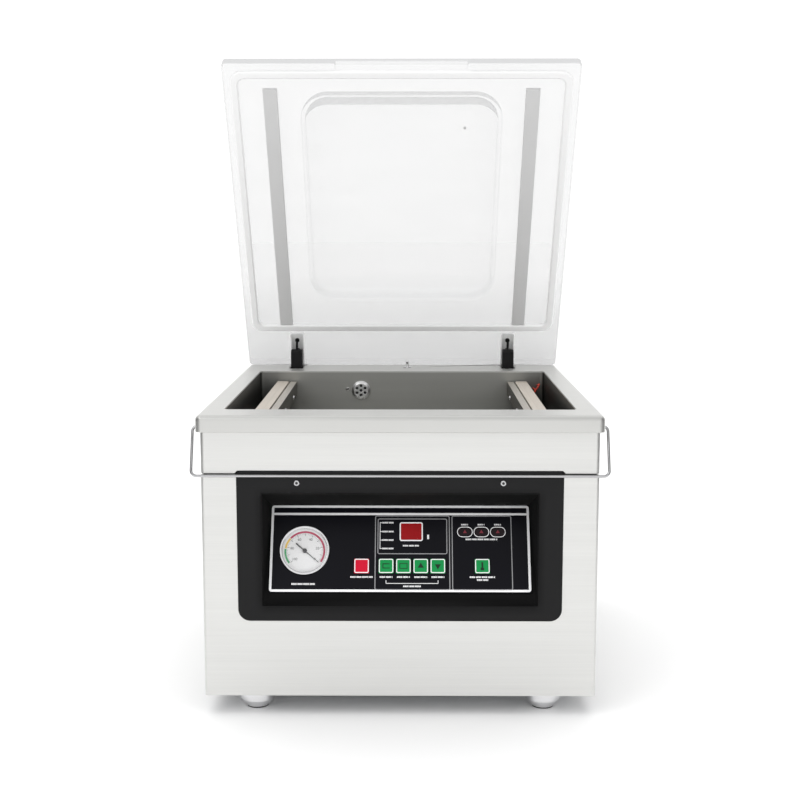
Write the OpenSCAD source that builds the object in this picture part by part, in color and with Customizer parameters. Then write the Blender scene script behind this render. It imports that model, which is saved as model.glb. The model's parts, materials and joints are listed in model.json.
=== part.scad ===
// Tabletop chamber vacuum sealer.
// Front faces -Y, up is +Z. The origin is on the floor, under the middle of the object's box
// as it stands with its lid open.

/* [Cabinet] */
// Width of the deck across its turned-down edge
deck_w = 500; // [480:1:620]
// Depth of the deck, front to back
deck_d = 561; // [520:1:680]
// Height of the feet
foot_h = 25.5; // [14:0.5:40]
// Height of the lower cabinet
cabinet_h = 282; // [270:1:360]
// Gap between the lower cabinet and the upper housing
seam_h = 2.5; // [1.5:0.5:5]
// Height of the upper housing below the deck edge
skirt_h = 52.3; // [45:0.1:80]
// Height of the deck's turned-down edge
lip_h = 21; // [19:1:30]
// Deck edge overhang at the sides and the back
lip_out = 4.6; // [4.2:0.1:8]
// Deck edge overhang at the front
lip_out_front = 11.6; // [11:0.1:16]
// Thickness of the cabinet sheet
sheet = 1.5; // [1:0.1:1.7]
// Thickness of the deck plate
deck_t = 2; // [1.5:0.1:2.2]
// Thickness of the deck's turned-down edge
lip_wall = 2.5; // [1.5:0.1:2.6]

/* [Chamber] */
// Deck width left of and right of the chamber
rim_side = 29; // [27:1:34]
// Deck depth in front of the chamber
rim_front = 53.6; // [50:0.1:60]
// Deck depth behind the chamber
rim_rear = 97; // [96:1:120]
// Depth of the chamber below the deck
chamber_depth = 90; // [75:1:110]
// Thickness of the chamber walls
tub_wall = 2; // [1.5:0.1:3]
// Diameter of the suction cap
cap_d = 29; // [24:1:36]

/* [Sealing bars] */
// Width of each sealing bar
bar_w = 29; // [26:1:34]
// Gap between a bar and the chamber's side wall
bar_in = 26.4; // [20:0.1:36]
// Depth of the resting bar faces below the deck
bar_drop = 15.5; // [14:0.1:24]
// Rise of the bars when they seal
bar_travel = 15; // [8:0.5:16]
// Width of the clamp rail along each bar's inner side
rail_w = 8; // [6:0.5:13]
// gap between the clamp rail and the taped face
rail_gap = 2.4; // [1:0.1:3]

/* [Lid] */
// Thickness of the clear lid
lid_t = 16.5; // [12:0.5:22]
// Setback of the closed lid's front edge from the deck's front edge
lid_front = 25.8; // [20:0.1:34]
// Height of the closed lid's inner face above the deck
lid_gap = 7; // [6:0.1:10]
// Opening angle of the lid at rest
open_angle = 58.2; // [45:0.1:70]
// Height of the raised centre of the lid
dome_h = 20; // [12:1:30]
// Width of the raised centre
dome_w = 290; // [240:1:330]
// Length of the raised centre
dome_d = 350; // [300:1:380]
// distance of the dome's front wall behind the chamber's mouth
dome_in = 29; // [20:1:40]
// Width of the counter strips under the lid
counter_w = 20; // [16:1:24]
// Thickness of the counter strips
counter_t = 5; // [3:0.5:5.5]

/* [Hinge] */
// Distance of the hinge axis in front of the deck's back edge
hinge_in = 9.2; // [9:0.1:12]
// Depth of the hinge axis below the deck
hinge_drop = 4.8; // [4.4:0.1:5.4]
// Distance of each hinge from the middle
hinge_x = 169; // [150:1:190]
// Diameter of the hinge pins
pin_d = 8; // [6:0.5:8]

/* [Console] */
// Width of the black console bezel
bezel_w = 403; // [380:1:420]
// Height of the console bezel
bezel_h = 190; // [180:1:200]
// Depth of the bezel's top edge below the deck
bezel_drop = 70.3; // [68:0.1:72]
// Width of the control plate
plate_w = 329; // [320:1:340]
// Height of the control plate along its slope
plate_h = 113; // [110:1:118]
// Lean of the control plate from the vertical
plate_tilt = 28.6; // [20:0.1:32]
// Size of the push buttons
key = 18.8; // [15:0.1:19.5]
// Diameter of the vacuum gauge
gauge_d = 63.4; // [56:0.1:66]

/* [Bail] */
// Thickness of the bail wire
wire_d = 3.5; // [2.5:0.1:4]
// Length of the bail's side legs between their centres
bail_leg = 63; // [60:1:66]

/* [Feet] */
// Diameter of the foot cups
foot_d = 45; // [36:1:50]
// Distance of each foot from the middle, left and right
foot_x = 183; // [150:1:200]
// Distance of the feet from the deck's front and back edges
foot_in = 48; // [45:1:90]

/* [Hidden] */
$fn = 64;
eps = 0.01;
// fits and clearances
run_fit = 0.05;   // radial gap of a turning or sliding fit
slip = 0.3;       // gap beside a piece that drops into place
clear = 0.5;      // gap beside a piece that moves past another

// levels
z_base = foot_h;
z_seam = z_base + cabinet_h;
z_skirt = z_seam + seam_h;
z_deck = z_skirt + skirt_h + lip_h;
z_floor = z_base + sheet;               // inside of the base pan
z_tub = z_deck - deck_t - chamber_depth - tub_wall;

// front and back
lid_top = hinge_drop + lid_gap + lid_t;  // closed lid's top above the hinge axis
tail_reach = 3.5;                        // closed lid's back edge behind the axis
overhang = lid_top * sin(open_angle) + tail_reach * cos(open_angle) - hinge_in;
y_front = -(deck_d + overhang) / 2;
y_back = y_front + deck_d;
y_mid = y_front + deck_d / 2;
y_hinge = y_back - hinge_in;
z_hinge = z_deck - hinge_drop;
y_body = y_front + lip_out_front;        // front face of the cabinet
body_w = deck_w - 2 * lip_out;
body_d = deck_d - lip_out_front - lip_out;
y_rear = y_body + body_d;                // back face of the cabinet

// chamber
chamber_w = deck_w - 2 * rim_side;
chamber_d = deck_d - rim_front - rim_rear;
y_ch0 = y_front + rim_front;
y_ch1 = y_ch0 + chamber_d;
y_chm = (y_ch0 + y_ch1) / 2;
chamber_r = 6;
suction_x = -64;
suction_z = z_deck - 29.5;

// sealing bars: distances from the middle
bar_out = chamber_w / 2 - bar_in;
bar_inn = bar_out - bar_w;
bar_len = chamber_d - 13;
bar_h = 22;                              // channel height
face_t = 4;                              // heater face and rail thickness
z_bar = z_deck - bar_drop;               // top of the faces at rest
lead_r = 1.2;
rod_d = 10;
cylinder_d = 30;
rod_gap = 4;                             // bare rod between cylinder and bar at rest
rod_seat = 8;                            // rod's depth in the bar
cylinder_h = chamber_depth - bar_drop - face_t - bar_h - rod_gap;
rod_y = bar_len / 4;
rod_dip = min(cylinder_h - 3.5, bar_travel + 20); // rod left inside its cylinder at rest
foot_taper = 11;                         // height of a foot's taper and sole
foot_bevel = 17;                         // how much narrower its sole is
sole = 1.5;                              // thickness of the rubber sole

// lid, in its closed place
lid_y0 = y_front + lid_front;
lid_y1 = y_hinge + tail_reach;
lid_z0 = z_deck + lid_gap;
gasket_w = 11;
gasket_in = 7;                           // gasket outside the chamber's mouth
gasket_gap = 0.3;
dome_wall = 6;
dome_y0 = y_ch0 + dome_in;
counter_x = bar_out - counter_w / 2 - 0.5;
counter_y0 = y_ch0 + 9;
counter_y1 = y_ch1 + gasket_in - 1;

// hinge
eye_r = 6.2;
flange_t = 1.5;
bracket_w = 21;
lug_t = 3;
lug_gap = clear;
slot_w = bracket_w + 2 * (lug_gap + lug_t + clear);
block_w = bracket_w - 2 * flange_t;
face_d = hinge_drop + lid_gap;           // lid's inner face above the axis
block_reach = 49.6;                      // radius that the hinge block sweeps

// lid switch
plunger_x = 8;
plunger_y = y_hinge - 37;
plunger_d = 5;
plunger_h = 10;                          // above the deck at rest
plunger_travel = 3.5;
collar_d = 10;

// console
plate_t = 2.5;
plate_top = 62;                          // plate's top edge behind the cabinet front
plate_drop = 127;                        // plate's top edge below the deck
bezel_t = 1.5;
bezel_wall = 2.5;
window_w = 343;
window_top = 97.7;                       // recess mouth, depths below the deck
window_bottom = 241;
bezel_r = 15;
panel_screw_x = 127;
panel_screw_drop = 85;
key_y = 79.4;                            // rows on the plate, down from its top edge
gauge_x = -120.8;
gauge_y = 59.4;
key_x = [-48.5, -17.6, 4.2, 26, 47.5, 103.5];
display_x = 14;
display_y = 34.7;
lamp_x = [82.2, 103.1, 124];
lamp_y = 35;
button_travel = 0.8;
board_y = 14;                            // control board behind the plate's face

// bail
pivot_in = 30;
pivot_drop = 17;
bar_front = 7.6;                         // crossbar behind the deck's front edge
bail_x = deck_w / 2 + 6.6;
bail_angle = asin((pivot_in - bar_front) / bail_leg);
bail_r = 7;                              // bend radius of the wire's centre line
bush_d = 7;
bush_len = 9;
pivot_run = bail_x - bail_r - deck_w / 2 + bush_len; // straight end that turns in its bushing

// pump
pump_x0 = -140;
pump_len = 150;
pump_h = 160;
pump_d = 130;
pump_y = y_rear - 78;
mount_h = 18;
pump_z = z_floor + mount_h;
shaft_z = pump_z + 78;
motor_len = 170;
motor_r = 66;
shaft_r = 8;
cowl_x = pump_x0 + pump_len + motor_len;
cowl_len = 45;
hose_bend = 26;
hose_r = 10;
hose_y = y_ch1 + tub_wall + 6 + hose_bend;

// rear
inlet_x = -180;
inlet_z = z_base + 70;
inlet_w = 50;
inlet_h = 72;
socket_z = -14;
rocker_z = 20;
rocker_tilt = 9;
rocker_pin_r = 2;
rear_panel_w = body_w - 8;
rear_panel_z0 = z_base + 3;
rear_panel_z1 = z_seam - 4;
screw_head = 7.5;
screw_shank = 4;

// ---------- helpers ----------

module rounded(w, d, r) {
  square([w - 2 * r, d], center = true);
  square([w, d - 2 * r], center = true);
  for (x = [-1, 1], y = [-1, 1]) translate([x * (w / 2 - r), y * (d / 2 - r)]) circle(r);
}

module block(x0, x1, y0, y1, z0, z1) {
  translate([x0, y0, z0]) cube([x1 - x0, y1 - y0, z1 - z0]);
}

// a cylinder whose axis runs along +Y from y = 0
module along_y(r, len) { rotate([-90, 0, 0]) cylinder(r = r, h = len); }

// a cylinder whose axis runs along X, centred
module across(r, len) { rotate([0, 90, 0]) cylinder(r = r, h = len, center = true); }

// from the closed lid's place to where it stands open
module opened() {
  translate([0, y_hinge, z_hinge]) rotate([-open_angle, 0, 0]) translate([0, -y_hinge, -z_hinge]) children();
}

// a side profile in the plane across the hinge axis, w wide; profile x runs to the front, y up
module hinge_profile(w) {
  translate([w / 2, y_hinge, z_hinge]) rotate([90, 0, -90]) linear_extrude(w) children();
}

// the control plate's own frame: x right, y into the cabinet, z up along the slope from its top edge
module on_plate() {
  translate([0, y_body + plate_top, z_deck - plate_drop]) rotate([-plate_tilt, 0, 0]) children();
}

module at_plate(x, down) { on_plate() translate([x, 0, -down]) children(); }

// a rounded prism standing on the plate: from y0 to y1 into the cabinet
module plate_prism(w, h, r, y0, y1) {
  translate([0, y1, 0]) rotate([90, 0, 0]) linear_extrude(y1 - y0) rounded(w, h, r);
}

// a round-sided tube along a list of points
function unit(v) = v / norm(v);
function path_dir(p, i) = unit(p[min(i + 1, len(p) - 1)] - p[max(i - 1, 0)]);
module swept(points, r, sides = 8) {
  rings = [for (i = [0:len(points) - 1])
    let (t = path_dir(points, i),
         side = unit(cross(t, abs(t[2]) < 0.9 ? [0, 0, 1] : [0, 1, 0])),
         up = cross(side, t))
    for (k = [0:sides - 1])
      points[i] + r * (cos(360 * k / sides) * side + sin(360 * k / sides) * up)];
  last = (len(points) - 1) * sides;
  skin = [for (i = [0:len(points) - 2], k = [0:sides - 1])
    [i * sides + k, i * sides + (k + 1) % sides, (i + 1) * sides + (k + 1) % sides, (i + 1) * sides + k]];
  polyhedron(points = rings,
    faces = concat([[for (k = [sides - 1:-1:0]) k]], skin, [[for (k = [0:sides - 1]) last + k]]));
}

// ---------- cabinet ----------

module base_pan() color("silver") difference() {
  translate([0, y_body + body_d / 2, z_base])
    linear_extrude(16) rounded(body_w - 2 * sheet - 0.2, body_d - 2 * sheet - 0.2, 3);
  translate([0, y_body + body_d / 2, z_floor])
    linear_extrude(16) rounded(body_w - 4 * sheet, body_d - 4 * sheet, 2);
  feet() translate([0, 0, z_base - 1]) cylinder(d = 8.4, h = 4);
  rear_screws() translate([0, -10, 0]) along_y(screw_shank / 2, 12);
  for (i = [-4:4]) translate([i * 22, pump_y - 110, z_base - 1]) linear_extrude(4) rounded(6, 60, 2.9);
}

module feet() {
  for (x = [-foot_x, foot_x], y = [y_front + foot_in, y_back - foot_in]) translate([x, y, 0]) children();
}

module cabinet_shell() color("gainsboro") difference() {
  translate([0, y_body + body_d / 2, z_base]) linear_extrude(cabinet_h) rounded(body_w, body_d, 4);
  translate([0, y_body + body_d / 2, z_base - 1])
    linear_extrude(cabinet_h + 1 - sheet) rounded(body_w - 2 * sheet, body_d - 2 * sheet, 2.5);
  translate([0, y_body + body_d / 2, z_seam - 3])
    linear_extrude(6) rounded(body_w - 32, body_d - 32, 2.5);
  // mouth for the console
  block(-window_w / 2 - 5, window_w / 2 + 5, y_body - 1, y_body + 8,
    z_deck - window_bottom - 4, z_deck - window_top + 3);
  for (s = [-1, 1]) translate([s * panel_screw_x, y_body - 1, z_deck - panel_screw_drop])
    along_y(screw_shank / 2, 5);
  // open back behind the rear panel
  block(-body_w / 2 + 14, body_w / 2 - 14, y_rear - 8, y_rear + 1, z_base + 14, z_seam - 14);
  rear_screws() translate([0, -5, 0]) along_y(screw_shank / 2, 10);
}

module rear_screws() {
  for (x = [-1, 1], z = [rear_panel_z0 + 6, (rear_panel_z0 + rear_panel_z1) / 2, rear_panel_z1 - 6])
    translate([x * (rear_panel_w / 2 - 6), y_rear, z]) children();
}

module rear_panel() color("gainsboro") difference() {
  block(-rear_panel_w / 2, rear_panel_w / 2, y_rear, y_rear + sheet, rear_panel_z0, rear_panel_z1);
  rear_screws() translate([0, -5, 0]) along_y(screw_shank / 2, 10);
  for (x = [-50, 50, 150], row = [0:8])
    translate([x, y_rear - 1, rear_panel_z0 + 60 + row * 18]) rotate([-90, 0, 0])
      linear_extrude(5) rounded(80, 6, 2.9);
  block(inlet_x - inlet_w / 2 + 4, inlet_x + inlet_w / 2 - 4, y_rear - 1, y_rear + 5,
    inlet_z - inlet_h / 2 + 4, inlet_z + inlet_h / 2 - 4);
}

module foot_cups() color("silver") feet() {
  translate([0, 0, foot_taper]) cylinder(d = foot_d, h = foot_h - foot_taper);
  translate([0, 0, sole]) cylinder(d1 = foot_d - foot_bevel, d2 = foot_d, h = foot_taper - sole);
  cylinder_from(foot_h, 7.9, 12);
}

module cylinder_from(z, d, h) { translate([0, 0, z - eps]) cylinder(d = d, h = h); }

module foot_pads() color("dimgray") feet() cylinder(d = foot_d - foot_bevel - 1, h = sole);

module upper_skirt() color("whitesmoke") difference() {
  translate([0, y_body + body_d / 2, z_skirt])
    linear_extrude(z_deck - deck_t - z_skirt) rounded(body_w, body_d, 5);
  translate([0, y_body + body_d / 2, z_skirt - 1])
    linear_extrude(z_deck - z_skirt) rounded(body_w - 2 * sheet, body_d - 2 * sheet, 3.5);
  // notch over the console bezel, with sloping ends
  translate([0, y_body + 5, 0]) rotate([90, 0, 0]) linear_extrude(10) polygon([
    [-bezel_w / 2 - 2, z_skirt - 1], [-bezel_w / 2 - 2, z_skirt],
    [-bezel_w / 2 + 1.4, z_deck - bezel_drop + slip], [bezel_w / 2 - 1.4, z_deck - bezel_drop + slip],
    [bezel_w / 2 + 2, z_skirt], [bezel_w / 2 + 2, z_skirt - 1]]);
  // room for the hinges and the bail's bushings
  for (s = [-1, 1]) block(s * hinge_x - slot_w / 2, s * hinge_x + slot_w / 2, y_rear - 5, y_rear + 1,
    z_hinge - eye_r - 2, z_deck);
  bail_bore(bush_d / 2);
}

module seam_strip() color("black") difference() {
  translate([0, y_body + body_d / 2, z_seam]) linear_extrude(seam_h) rounded(body_w - 6, body_d - 6, 3);
  translate([0, y_body + body_d / 2, z_seam - 1])
    linear_extrude(seam_h + 2) rounded(body_w - 28, body_d - 28, 3);
}

module deck_rim() color("lightgray") difference() {
  translate([0, y_mid, z_deck - lip_h]) linear_extrude(lip_h) rounded(deck_w, deck_d, 8);
  translate([0, y_mid, z_deck - lip_h - 1])
    linear_extrude(lip_h + 1 - deck_t) rounded(deck_w - 2 * lip_wall, deck_d - 2 * lip_wall, 8 - lip_wall);
  translate([0, y_chm, z_deck - 10]) linear_extrude(20) rounded(chamber_w, chamber_d, chamber_r);
  // slots that the lid's hinges swing through
  for (s = [-1, 1]) {
    block(s * hinge_x - slot_w / 2, s * hinge_x + slot_w / 2, y_hinge - 9, y_back - lip_wall,
      z_deck - 10, z_deck + 1);
    block(s * hinge_x - bracket_w / 2 - clear, s * hinge_x + bracket_w / 2 + clear,
      y_hinge - block_reach - 1, y_hinge, z_deck - 10, z_deck + 1);
  }
  translate([plunger_x, plunger_y, z_deck - 10]) cylinder(d = collar_d, h = 20);
  bail_bore(bush_d / 2);
}

module chamber_tub() color("darkgray") difference() {
  translate([0, y_chm, z_tub]) linear_extrude(z_deck - deck_t - z_tub)
    rounded(chamber_w + 2 * tub_wall, chamber_d + 2 * tub_wall, chamber_r + tub_wall);
  translate([0, y_chm, z_tub + tub_wall])
    linear_extrude(chamber_depth + 5) rounded(chamber_w, chamber_d, chamber_r);
  translate([suction_x, y_ch1 - 1, suction_z]) along_y(9, 6);
}

module suction_cap() color("silver")
translate([suction_x, y_ch1, suction_z]) rotate([90, 0, 0]) difference() {
  union() {
    cylinder(d = cap_d, h = 3.5);
    translate([0, 0, 3.5]) cylinder(d1 = cap_d, d2 = cap_d - 7, h = 3);
  }
  translate([0, 0, -1]) cylinder(d = cap_d - 7, h = 4);
  translate([0, 0, -1]) cylinder(d = 4.5, h = 9);
  for (a = [30:60:330]) rotate(a) translate([7.3, 0, -1]) cylinder(d = 4.5, h = 9);
}

// ---------- sealing bars ----------

module rods(s) {
  for (y = [-rod_y, rod_y]) translate([s * (bar_out + bar_inn) / 2, y_chm + y, 0]) children();
}

module lift_cylinders() color("silver") for (s = [-1, 1]) rods(s) difference() {
  translate([0, 0, z_tub + tub_wall]) cylinder(d = cylinder_d, h = cylinder_h);
  translate([0, 0, z_tub + tub_wall + 3]) cylinder(r = rod_d / 2 + run_fit, h = cylinder_h);
}

module lift_rods(s) color("lightgray") rods(s)
  translate([0, 0, z_tub + tub_wall + cylinder_h - rod_dip])
    cylinder(d = rod_d, h = rod_dip + rod_gap + rod_seat);

module bar_channel(s) color("silver") difference() {
  bar_box(s, bar_inn, bar_out, z_bar - face_t - bar_h, z_bar - face_t);
  rods(s) translate([0, 0, z_bar - face_t - bar_h - 1]) cylinder(d = rod_d + 0.04, h = 1 + rod_seat);
}

module bar_box(s, x0, x1, z0, z1) {
  block(s > 0 ? x0 : -x1, s > 0 ? x1 : -x0, y_chm - bar_len / 2, y_chm + bar_len / 2, z0, z1);
}

module heater_face(s) color("tan") bar_box(s, bar_inn + rail_w + rail_gap, bar_out, z_bar - face_t, z_bar);

module clamp_rail(s) color("lightgray") {
  bar_box(s, bar_inn, bar_inn + rail_w, z_bar - face_t, z_bar);
  bar_box(s, bar_inn - 2, bar_inn, z_bar - face_t - 18, z_bar);
}

// the right bar's leads dip to its side, the left bar's run low to its underside
module heater_leads() color("firebrick") for (k = [0, 1]) {
  x_wall = chamber_w / 2 - 10 - 6 * k;
  x_side = bar_out + clear + lead_r;
  x_under = bar_out - 8 - 6 * k;
  z0 = z_deck - 22 - 5 * k;
  z1 = z_deck - 62 - 5 * k;
  swept([[x_wall, y_ch1 - 0.3, z0], [x_wall, y_ch1 - 5, z0], [x_wall + 1, y_ch1 - 10, z0 - 2],
    [x_wall, y_ch1 - 16, z0 - 6], [x_wall - 3, y_ch1 - 21, z0 - 11], [x_side + 3, y_ch1 - 26, z0 - 15],
    [x_side + 0.6, y_ch1 - 31, z0 - 17], [x_side, y_ch1 - 37, z0 - 17]], lead_r);
  swept([[-x_wall, y_ch1 - 0.3, z1], [-x_wall, y_ch1 - 6, z1], [-x_wall, y_ch1 - 14, z1 - 2],
    [-(x_wall + x_under) / 2, y_ch1 - 22, z1 - 1], [-x_under, y_ch1 - 30, z1 + 4],
    [-x_under, y_ch1 - 36, z_bar - face_t - bar_h - 8],
    [-x_under, y_ch1 - 37, z_bar - face_t - bar_h - clear]], lead_r);
}

// ---------- lid ----------

module lid_outline() translate([0, (lid_y0 + lid_y1) / 2]) rounded(deck_w, lid_y1 - lid_y0, 6);

module dome_block(grow, h) {
  translate([0, dome_y0 + dome_d / 2, 0])
    linear_extrude(h) rounded(dome_w + 2 * grow, dome_d + 2 * grow, 40 + grow);
}

module lid_panel() color("azure", 0.35) opened() difference() {
  union() {
    translate([0, 0, lid_z0]) linear_extrude(lid_t) lid_outline();
    translate([0, 0, lid_z0 + lid_t - eps]) dome_block(0, dome_h);
  }
  translate([0, 0, lid_z0 - 1]) dome_block(-dome_wall, 1 + lid_t + dome_h - dome_wall);
  // finger notch under the front edge
  translate([0, lid_y0, lid_z0]) rotate([0, 90, 0])
    linear_extrude(184, center = true) polygon([[1, -1], [-8, -1], [0, 12], [1, 12]]);
  bracket_screws() cylinder(d = 4.2, h = 12);
}

module bracket_screws() {
  for (s = [-1, 1], y = [30, 50]) translate([s * hinge_x, y_hinge - y, lid_z0 - 0.1]) children();
}

module gasket_ring(z0, h) {
  translate([0, y_chm, z0]) difference() {
    linear_extrude(h)
      rounded(chamber_w + 2 * (gasket_in + gasket_w), chamber_d + 2 * (gasket_in + gasket_w), 18);
    translate([0, 0, -1]) linear_extrude(h + 2)
      rounded(chamber_w + 2 * gasket_in, chamber_d + 2 * gasket_in, 10);
  }
}

module lid_gasket() color("whitesmoke") opened() gasket_ring(z_deck + gasket_gap, lid_gap - gasket_gap);

module counter_strips() color("darkgray") opened() for (s = [-1, 1])
  block(s * counter_x - counter_w / 2, s * counter_x + counter_w / 2, counter_y0, counter_y1,
    lid_z0 - counter_t, lid_z0);

// ---------- hinge ----------

module hinge_brackets() color("silver") opened()
for (s = [-1, 1]) translate([s * hinge_x, 0, 0]) difference() {
  union() {
    for (side = [-1, 1]) translate([side * (bracket_w - flange_t) / 2, 0, 0])
      hinge_profile(flange_t) difference() {
      union() {
        circle(eye_r);
        polygon([[-eye_r, 0], [0, -eye_r], [22, -eye_r], [block_reach - 1, hinge_drop + clear],
          [62, face_d - 5], [62, face_d], [12, face_d], [0, eye_r]]);
      }
      circle(pin_d / 2 + run_fit);
    }
    block(-bracket_w / 2, bracket_w / 2, y_hinge - 62, y_hinge - 12, lid_z0 - 2, lid_z0);
  }
  for (y = [30, 50]) translate([0, y_hinge - y, lid_z0 - 5]) cylinder(d = 4.2, h = 10);
}

module hinge_blocks() color([0.07, 0.07, 0.07]) for (s = [-1, 1]) translate([s * hinge_x, 0, 0])
  hinge_profile(block_w) polygon([[17, 1], [37, 1], [37, 30], [34, 32.8], [20, 32.8], [17, 30]]);

module bracket_bolts() color("black") {
  for (s = [-1, 1]) translate([s * hinge_x, y_hinge - 27, z_hinge + 32.8]) cylinder(d = 3.7, h = 12);
  opened() bracket_screws() {
    translate([0, 0, -4.6]) cylinder(d = 7, h = 2.6);
    translate([0, 0, -2]) cylinder(d = 4, h = 12);
  }
}

module hinge_lugs() color("gray") for (s = [-1, 1]) translate([s * hinge_x, 0, 0]) {
  for (side = [-1, 1]) translate([side * (bracket_w / 2 + lug_gap + lug_t / 2), 0, 0])
    hinge_profile(lug_t) difference() {
      union() {
        circle(eye_r);
        polygon([[-eye_r, 0], [-(y_rear - sheet - y_hinge), -eye_r - 2], [-(y_rear - sheet - y_hinge), -55],
          [5, -55], [eye_r, 0]]);
      }
      circle(pin_d / 2 + 0.02);
    }
  block(-24, 24, y_rear - sheet - 3, y_rear - sheet, z_hinge - 58, z_hinge - 25);
}

module hinge_pins() color("lightgray") for (s = [-1, 1])
  translate([s * hinge_x, y_hinge, z_hinge]) across(pin_d / 2, slot_w - 1);

// torsion springs coiled on the pins between the bracket flanges
module torsion_springs() color("dimgray") for (s = [-1, 1]) translate([s * hinge_x, y_hinge, z_hinge]) {
  turns = 6;
  steps = 16;
  swept([for (i = [0:turns * steps]) let (a = 360 * i / steps)
    [-6.5 + 13 * i / (turns * steps), 5.2 * cos(a), 5.2 * sin(a)]], 0.85, 6);
}

// ---------- console ----------

module recess(grow) hull() {
  block(-window_w / 2 - grow, window_w / 2 + grow, y_body - bezel_t, y_body,
    z_deck - window_bottom - grow, z_deck - window_top + grow);
  on_plate() block(-plate_w / 2 - slip - grow, plate_w / 2 + slip + grow, 0, plate_t + grow * 0.4,
    -plate_h - slip - grow, slip + grow);
}

module panel_bezel() color([0.1, 0.1, 0.1]) difference() {
  union() {
    translate([0, y_body, z_deck - bezel_drop - bezel_h / 2]) rotate([90, 0, 0]) linear_extrude(bezel_t)
      bezel_outline();
    intersection() {
      recess(bezel_wall);
      block(-bezel_w / 2, bezel_w / 2, y_body - bezel_t, y_body + 120, z_base, z_deck);
    }
  }
  recess(0);
  at_plate(0, plate_h / 2) plate_prism(plate_w - 12, plate_h - 12, 3, -1, 12);
  for (s = [-1, 1]) translate([s * panel_screw_x, y_body - 5, z_deck - panel_screw_drop])
    along_y(screw_shank / 2, 10);
}

// square top corners cut at 45 degrees, round bottom corners
module bezel_outline() {
  w = bezel_w / 2;
  h = bezel_h / 2;
  polygon([[-w, -h + bezel_r], [-w, h - 3.4], [-w + 3.4, h], [w - 3.4, h], [w, h - 3.4], [w, -h + bezel_r]]);
  translate([-w + bezel_r, -h]) square([2 * (w - bezel_r), bezel_r + eps]);
  for (s = [-1, 1]) translate([s * (w - bezel_r), -h + bezel_r]) circle(bezel_r);
}

module pan_head_screws() color("silver") {
  for (s = [-1, 1]) translate([s * panel_screw_x, y_body - bezel_t, z_deck - panel_screw_drop]) pan_head();
  rear_screws() translate([0, sheet, 0]) rotate([0, 0, 180]) pan_head();
}

// head towards -Y
module pan_head() {
  translate([0, -1, 0]) along_y(screw_head / 2, 1);
  translate([0, -2, 0]) rotate([-90, 0, 0]) cylinder(d1 = screw_head - 3, d2 = screw_head, h = 1);
  along_y(screw_shank / 2 - 0.02, 8);
}

module control_plate() color([0.08, 0.08, 0.1]) difference() {
  at_plate(0, plate_h / 2) plate_prism(plate_w, plate_h, 1, 0, plate_t);
  at_plate(gauge_x, gauge_y) translate([0, -1, 0]) along_y(gauge_d / 2 - 2 + slip, 5);
  for (x = key_x) at_plate(x, key_y) plate_prism(key + 2 * slip, key + 2 * slip, 1, -1, 4);
  at_plate(display_x, display_y) plate_prism(28.9, 24.2, 2, -1, 4);
  for (x = lamp_x) at_plate(x, lamp_y) plate_prism(18.6, 12.3, 6.1, -1, 4);
}

module indicator_lenses() color([0.6, 0.1, 0.12]) {
  at_plate(display_x, display_y) plate_prism(28.5, 23.8, 1.8, -0.4, plate_t);
  for (x = lamp_x) at_plate(x, lamp_y) plate_prism(18.2, 11.9, 5.9, -0.4, plate_t);
}

module gauge_case() color("gainsboro") at_plate(gauge_x, gauge_y) difference() {
  union() {
    translate([0, -3, 0]) along_y(gauge_d / 2, 3);
    translate([0, -0.1, 0]) along_y(gauge_d / 2 - 2, 30);
    translate([0, 29, 0]) along_y(7, 16);
  }
  translate([0, -4, 0]) along_y(gauge_d / 2 - 3.2, 14);
}

module gauge_dial() color("white") at_plate(gauge_x, gauge_y) difference() {
  translate([0, 3, 0]) along_y(gauge_d / 2 - 3.3, 1);
  translate([0, 2, 0]) along_y(0.8 + run_fit, 4);
}

module gauge_glass() color("azure", 0.3) at_plate(gauge_x, gauge_y) translate([0, -2.4, 0])
  along_y(gauge_d / 2 - 3.3, 1.4);

// pointer at rest, low on the right
module gauge_needle() color("black") at_plate(gauge_x, gauge_y) {
  rotate([0, 40, 0]) block(-14.8, 22.6, 0.9, 1.5, -0.6, 0.6);
  translate([0, 0.4, 0]) along_y(3, 1.6);
  translate([0, 1, 0]) along_y(0.8, 5);
}

module push_button(n, c) color(c) at_plate(key_x[n], key_y) {
  plate_prism(key, key, 1, -1, plate_t + 0.1 + button_travel);
  plate_prism(key + 2, key + 2, 1, plate_t + 0.1, plate_t + 1.3);
  along_y(2.5, 9.5);
}

module control_board() color("darkgreen") {
  at_plate(40, plate_h / 2) plate_prism(220, 92, 2, board_y, board_y + 1.6);
  for (x = key_x) at_plate(x, key_y) plate_prism(8, 8, 1, 9.5 + button_travel + slip, board_y + eps);
  at_plate(display_x, display_y) plate_prism(27, 22, 1, 4, board_y + eps);
  for (x = lamp_x) at_plate(x, lamp_y) translate([0, 5, 0]) along_y(2.5, board_y - 5 + eps);
}

// ---------- bail ----------

module at_bail() translate([0, y_front + pivot_in, z_deck - pivot_drop]) children();

module bail_bore(r) at_bail() for (s = [-1, 1]) translate([s * (deck_w / 2 - 4), 0, 0]) across(r, 24);

module bail_bushings() color("silver") at_bail() for (s = [-1, 1]) difference() {
  translate([s * (deck_w / 2 + 0.5 - bush_len / 2), 0, 0]) across(bush_d / 2, bush_len);
  translate([s * deck_w / 2, 0, 0]) across(wire_d / 2 + run_fit, 30);
}

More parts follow.
